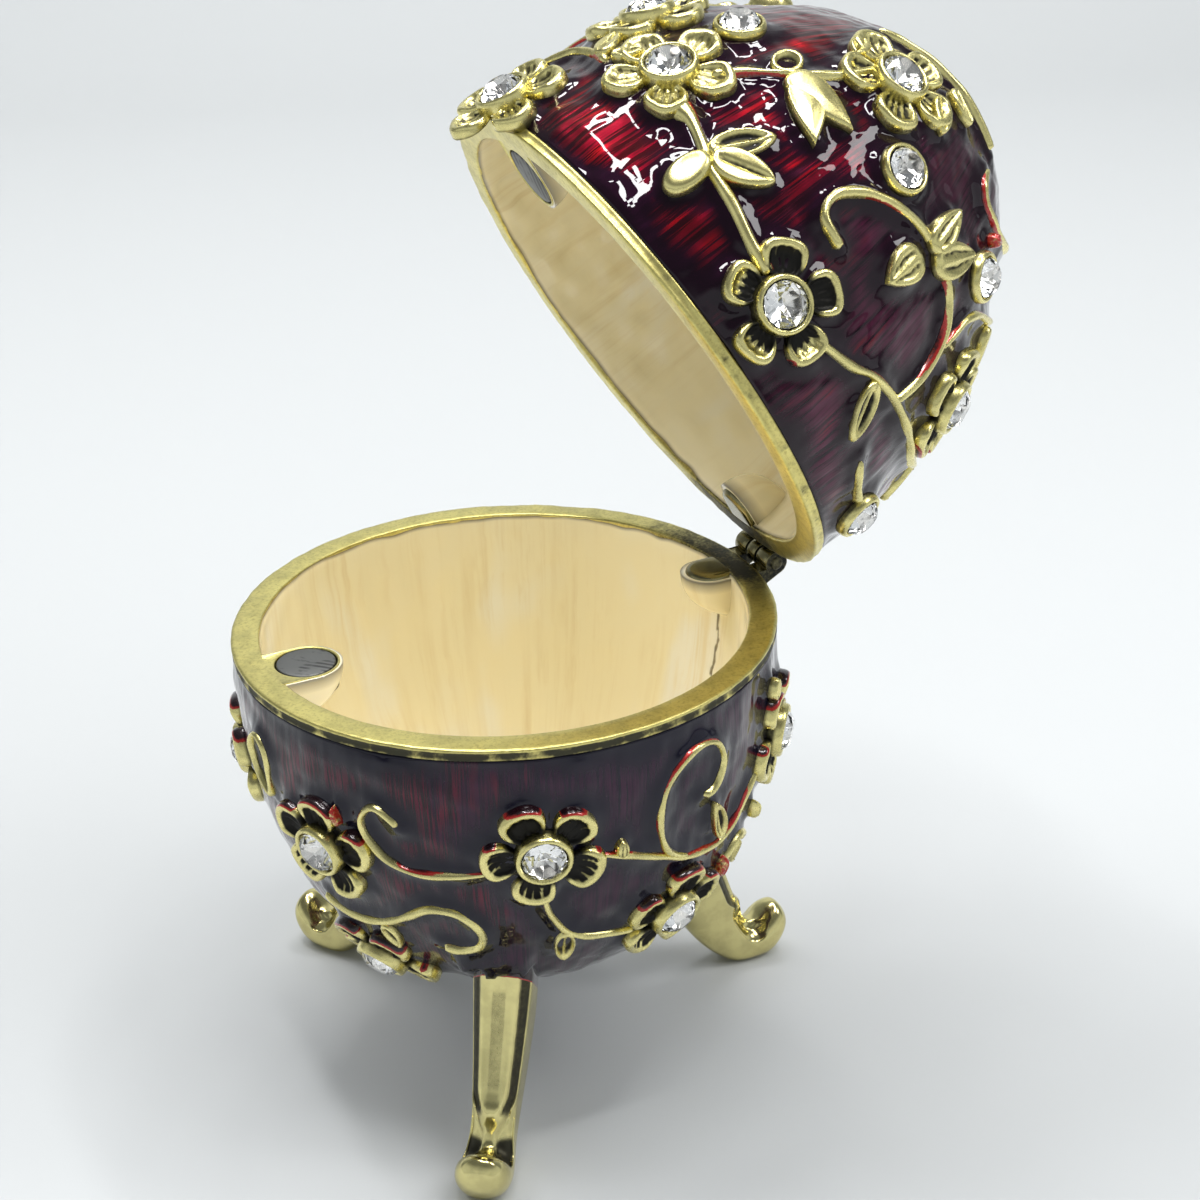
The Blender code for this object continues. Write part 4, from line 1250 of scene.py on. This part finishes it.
def knuckle(casting, sign, eyeHeight, low, high):
    # a barrel on a web that runs into the wall, pushed along Y with eased ends
    start, sweep = np.radians(hinge["sweep"])
    turn = start - np.linspace(0, sweep, hinge["around"])
    root, bevel = hinge["webRoot"], hinge["bevel"]
    outline = np.vstack([
        (root, -sign * hinge["webFar"]), (root, -sign * hinge["webNear"]),
        np.stack([egg["hingeReach"] + hinge["barrel"] * np.cos(turn),
                  eyeHeight + sign * hinge["barrel"] * np.sin(turn)], -1)])
    middle = outline.mean(0)
    rows = []
    for y, shrink in ((low, bevel), (low + bevel * 0.3, bevel * 0.35), (low + bevel, 0.0),
                      (high - bevel, 0.0), (high - bevel * 0.3, bevel * 0.35), (high, bevel)):
        flat = middle + (outline - middle) * (1 - shrink)
        rows.append(np.insert(flat, 1, y, axis=1))
    casting.rings(rows, capFirst=True, capLast=True,
                  hollow=np.array([0.9, 0.35, 0.3, 0.3, 0.35, 0.9])[:, None])


for half, eye in ((bowlInside, egg["hingeRise"]), (lidInside, egg["hingeRise"] - egg["lidGap"])):
    casting = Casting("hollow", "stain")
    for low, high in hinge["spans"][half.name]:
        knuckle(casting, -half.sign, eye, low, high)
    bossTop(casting, half, boss["hinge"])
    casting.finish(half.name + "_hinge_knuckle", half, shadedHingeBrass, "enamelled_casting", sharp=40)

pinPlace = np.array([egg["hingeReach"], 0, egg["hingeRise"]]), axes[1], axes[3], axes[2]
along, radius = np.array(hinge["rivet"]).T[..., None]
casting = Casting("hollow", "stain")
casting.rings(spun(pinPlace, evenTurns(32), radius, along * hinge["rivetHalf"]), capFirst=True,
              capLast=True, hollow=0.8)
casting.finish("hinge_rivet", bowlFace, shadedHingeBrass, "pin_metal", ["hinge_pin"], sharp=40)
print("hinge made")


# Legs

legs = {
    # front, back, width and how square, from the top down to the toe
    "sections": (
        ((17.6, -21.6), (12.6, -26.6), 5.0, 0.6),
        ((17.95, -23.35), (13.25, -28.05), 5.0, 0.55),
        ((18.55, -26.2), (13.6, -30.4), 4.75, 0.5),
        ((19.5, -29.6), (14.6, -33.0), 4.35, 0.5),
        ((20.5, -32.6), (15.9, -35.6), 3.95, 0.5),
        ((21.2, -34.6), (17.4, -37.8), 3.75, 0.6),
        ((21.9, -36.1), (18.9, -39.4), 3.8, 0.7),
        ((22.6, -37.0), (20.6, -40.65), 4.2, 0.8),
        ((23.5, -36.9), (22.6, -40.9), 4.6, 0.9),
        ((24.5, -36.1), (24.2, -40.8), 4.6, 0.95),
        ((25.4, -35.9), (25.3, -40.0), 4.0, 1.0),
        ((26.0, -36.5), (26.0, -38.9), 2.8, 1.0),
        ((26.25, -37.2), (26.25, -38.2), 1.2, 1.0),
        ((26.3, -37.6), (26.3, -37.8), 0.2, 1.0),
    ),
    "stations": 150,
    "around": 72,
    "floor": -40.65,
    "panelHalf": 0.60,        # the raised panel's half width, as a share of the leg's
    "grooveDepth": 0.42,
    "stripHalf": 0.28,
    "stripDepth": 0.18,
    "ankleDepth": 0.62,
    # half the width of the ridge down the ankle, and the sections where it has it
    "ridge": ((4.4, 5.2, 5.9, 6.6, 7.6, 8.6), (0.95, 0.5, 0.22, 0.2, 0.3, 0.6)),
    # for each leg: how dark its ankle is, how many degrees askew it is and how it leans
    "set": {"leg_front": (1.0, -6.0, 0.05), "leg_hinge": (0.3, 0.0, 0.0),
            "leg_back": (0.3, 0.0, 0.0)},
    "axis": (18, -32),        # what it is askew about, and from what height it leans
}


def legShape(name, turnAngle):
    sections = np.array([(*front, *back, *rest) for front, back, *rest in legs["sections"]])
    position = np.linspace(0, len(sections) - 1, legs["stations"])
    first = np.minimum(position.astype(int), len(sections) - 2)
    corners = extended(sections)
    mixed = curved(*(corners[first + step] for step in range(4)), (position - first)[:, None])
    front, back, width, square = mixed[:, :2], mixed[:, 2:4], mixed[:, 4:5], mixed[:, 5:]
    position = position[:, None]
    turn = evenTurns(legs["around"], 0.5)
    across, along = rounded(np.cos(turn), square), rounded(np.sin(turn), square)
    facing = smoothStep(0.15, 0.6, along)
    away = np.abs(across)
    ankleShade, yaw, lean = legs["set"][name]
    # the side grooves draw in under the tongue
    inwards = 0.3 * smoothStep(4.0, 5.3, position)
    groove = (smoothStep(legs["panelHalf"], legs["panelHalf"] + 0.1, away + inwards)
              * smoothStep(0.99, 0.91, away + 0.8 * inwards)
              * smoothStep(0.2, 0.8, position) * smoothStep(5.5, 4.8, position))
    strip = (smoothStep(legs["stripHalf"] + 0.05, legs["stripHalf"] - 0.05, away)
             * smoothStep(1.35, 1.6, position) * smoothStep(4.45, 3.9, position))
    # below the shin a rounded tongue, then a thin ridge between two dark hollows
    ridge = np.interp(position, *legs["ridge"])
    ankle = (smoothStep(ridge, ridge + 0.16, away) * smoothStep(1.0, 0.88, away)
             * smoothStep(4.5, 5.2, position) * smoothStep(8.5, 7.7, position))
    shade = ankle * smoothStep(5.9, 6.8, position + away * 0.5) * ankleShade
    lip = np.exp(-((position - 5.0) / 0.5) ** 2) * smoothStep(0.75, 0.25, away)
    saddle = np.exp(-((position - 6.4) / 0.6) ** 2) * smoothStep(0.9, 0.4, away)
    push = (0.4 * lip - 0.12 * saddle - legs["grooveDepth"] * groove
            - legs["stripDepth"] * strip - legs["ankleDepth"] * ankle) * facing
    middle, reach = (front + back) / 2, (front - back) / 2
    direction = reach / np.linalg.norm(reach, axis=1, keepdims=True)
    outwards, height = (
        middle[:, [way]] + reach[:, [way]] * along + direction[:, [way]] * push for way in (0, 1))
    height = np.maximum(height, legs["floor"])
    hollow = np.clip(0.95 * groove + 0.6 * strip + 1.1 * shade, 0, 1.2) * facing
    # set askew about its own upright, then turned to its place round the egg
    upright, leanFrom = legs["axis"]
    askew = Matrix.Rotation(math.radians(yaw), 3, "Z")
    rows = np.stack([outwards - upright, np.maximum(width, 0.1) / 2 * across, height], -1)
    rows = rows @ np.array(askew).T + (upright, 0, 0)
    rows[..., 1] += lean * (height - leanFrom)
    casting = Casting("hollow", "stain")
    casting.rings(rows @ np.array(Matrix.Rotation(turnAngle, 3, "Z")).T, capFirst=True,
                  capLast=True, hollow=hollow + 0.25 * (1 - facing),
                  stain=1.3 * smoothStep(1.12, 0.95, position))
    casting.finish(name + "_casting", bowlFace, legBrass, "antique_brass", [name])


for label, angle in legAngles.items():
    legShape(label, angle)
print("legs made")


# Floor, lights and camera

studio = {
    "camera": (-0.07708, -0.16396, 0.12913),
    "target": (-0.01702, -0.033, 0.05787),
    "roll": -1.917,
    "lens": 71.82,
    "paperHalf": 2.0,          # the paper reaches this far to each side and behind the camera
    "wallAway": 0.50,
    "wallRise": 1.2,
    "bend": 0.12,
    "floorColour": (0.472, 0.486, 0.49),
}


def aimed(data, place, target, roll=0.0):
    # a camera or a lamp, pointed at its target
    item = added(data.name, data)
    item.location = place
    item.rotation_mode = "QUATERNION"
    item.rotation_quaternion = ((Vector(target) - Vector(place)).to_track_quat("-Z", "Y")
                                @ Matrix.Rotation(math.radians(roll), 3, "Z").to_quaternion())
    return item


cameraData = bpy.data.cameras.new("camera")
cameraData.lens = studio["lens"]
cameraData.sensor_width = 36.0
cameraData.clip_start = 0.005
bpy.context.scene.camera = aimed(cameraData, studio["camera"], studio["target"], studio["roll"])
bpy.context.scene.view_settings.view_transform = "Standard"


def makeFloor():
    finish = Finish("studioPaper", Roughness=0.55)
    cloud = finish.noise(finish.place(), 0.004, 2.0)
    paper = studio["floorColour"]
    return finish.coat(Base_Color=finish.mix(cloud, paper, [share * 0.98 for share in paper]))


def sweep():
    # one sheet of pale paper: flat floor, a soft bend and a low wall behind
    origin, target = Vector(studio["camera"]), Vector(studio["target"])
    origin.z = target.z = 0
    ahead = (target - origin).normalized()
    sideways = Vector((-ahead.y, ahead.x, 0))
    away, bend, edge = studio["wallAway"], studio["bend"], studio["paperHalf"]
    profile = [(-edge, 0.0)]
    profile += [(away + bend * math.sin(turn), bend - bend * math.cos(turn))
                for turn in np.linspace(0, math.pi / 2, 13)]
    profile.append((away + bend, studio["wallRise"]))
    count = len(profile)
    mesh = bpy.data.meshes.new("paper_sweep")
    mesh.from_pydata([origin + ahead * reach + sideways * side + Vector((0, 0, rise))
                      for side in (-edge, edge) for reach, rise in profile], [],
                     [(i, i + 1, count + i + 1, count + i) for i in range(count - 1)])
    mesh.shade_smooth()
    mesh.materials.append(makeFloor())
    item = added("paper_sweep", mesh)


sweep()

softLamps = {
    # place, target, size in metres, watts
    "panelRight": ((0.27, -0.14, 0.33), (0, 0, 0.06), (0.11, 0.09), 0.26),
    "fillLeft": ((-0.22, 0.26, 0.50), (-0.01, 0, 0.03), (0.34, 0.34), 1.8),
    "fillFront": ((0.26, -0.30, 0.46), (0.02, -0.04, 0.0), (0.36, 0.36), 1.6),
}
lampFrame = {"centre": (0.05, 0.035, 0.50), "long": 0.34, "wide": 0.25, "strip": 0.032,
             "pieces": 2, "gap": 0.22, "watts": 2.9}


def addLamp(name, place, target, size, watts):
    light = bpy.data.lights.new(name, "AREA")
    light.shape = "RECTANGLE"
    light.size, light.size_y = size
    light.energy = watts
    return aimed(light, place, target)


for name, values in softLamps.items():
    # the large ones only fill: they aren't mirrored in the enamel
    addLamp(name, *values).visible_glossy = not name.startswith("fill")

# four rows of short strips in a frame overhead
long, wide, pieces = lampFrame["long"], lampFrame["wide"], lampFrame["pieces"]
for row in range(4):
    alongY = row < 2
    aside = row % 2 - 0.5
    step = (long if alongY else wide) / pieces
    size = lampFrame["strip"], step * (1 - lampFrame["gap"])
    for piece in range(pieces):
        reach = step * (piece - (pieces - 1) / 2)
        offset = Vector((aside * wide, reach, 0) if alongY else (reach, aside * long, 0))
        place = Vector(lampFrame["centre"]) + offset
        addLamp("strip_%d_%d" % (row, piece), place, place - Vector((0, 0, 1)),
                size if alongY else size[::-1], lampFrame["watts"] * step / (2 * (long + wide)))

# walls that are pale to a third of the way up, under a dim ceiling
room = {"walls": (0.62, 0.655, 0.675), "ceiling": (0.16, 0.17, 0.18)}
world = bpy.data.worlds.new("softRoom")
bpy.context.scene.world = world
world.use_nodes = True
sky = Board(world.node_tree)
heading = sky.node("ShaderNodeTexCoord", {}, {})
up = sky.node("ShaderNodeSeparateXYZ", {}, {0: heading}, output=2)
colour = sky.mix(sky.step(0.30, 0.62, up), room["walls"], room["ceiling"])
sky.feed(world.node_tree.nodes["Background"].inputs["Color"], colour)
print("studio made")
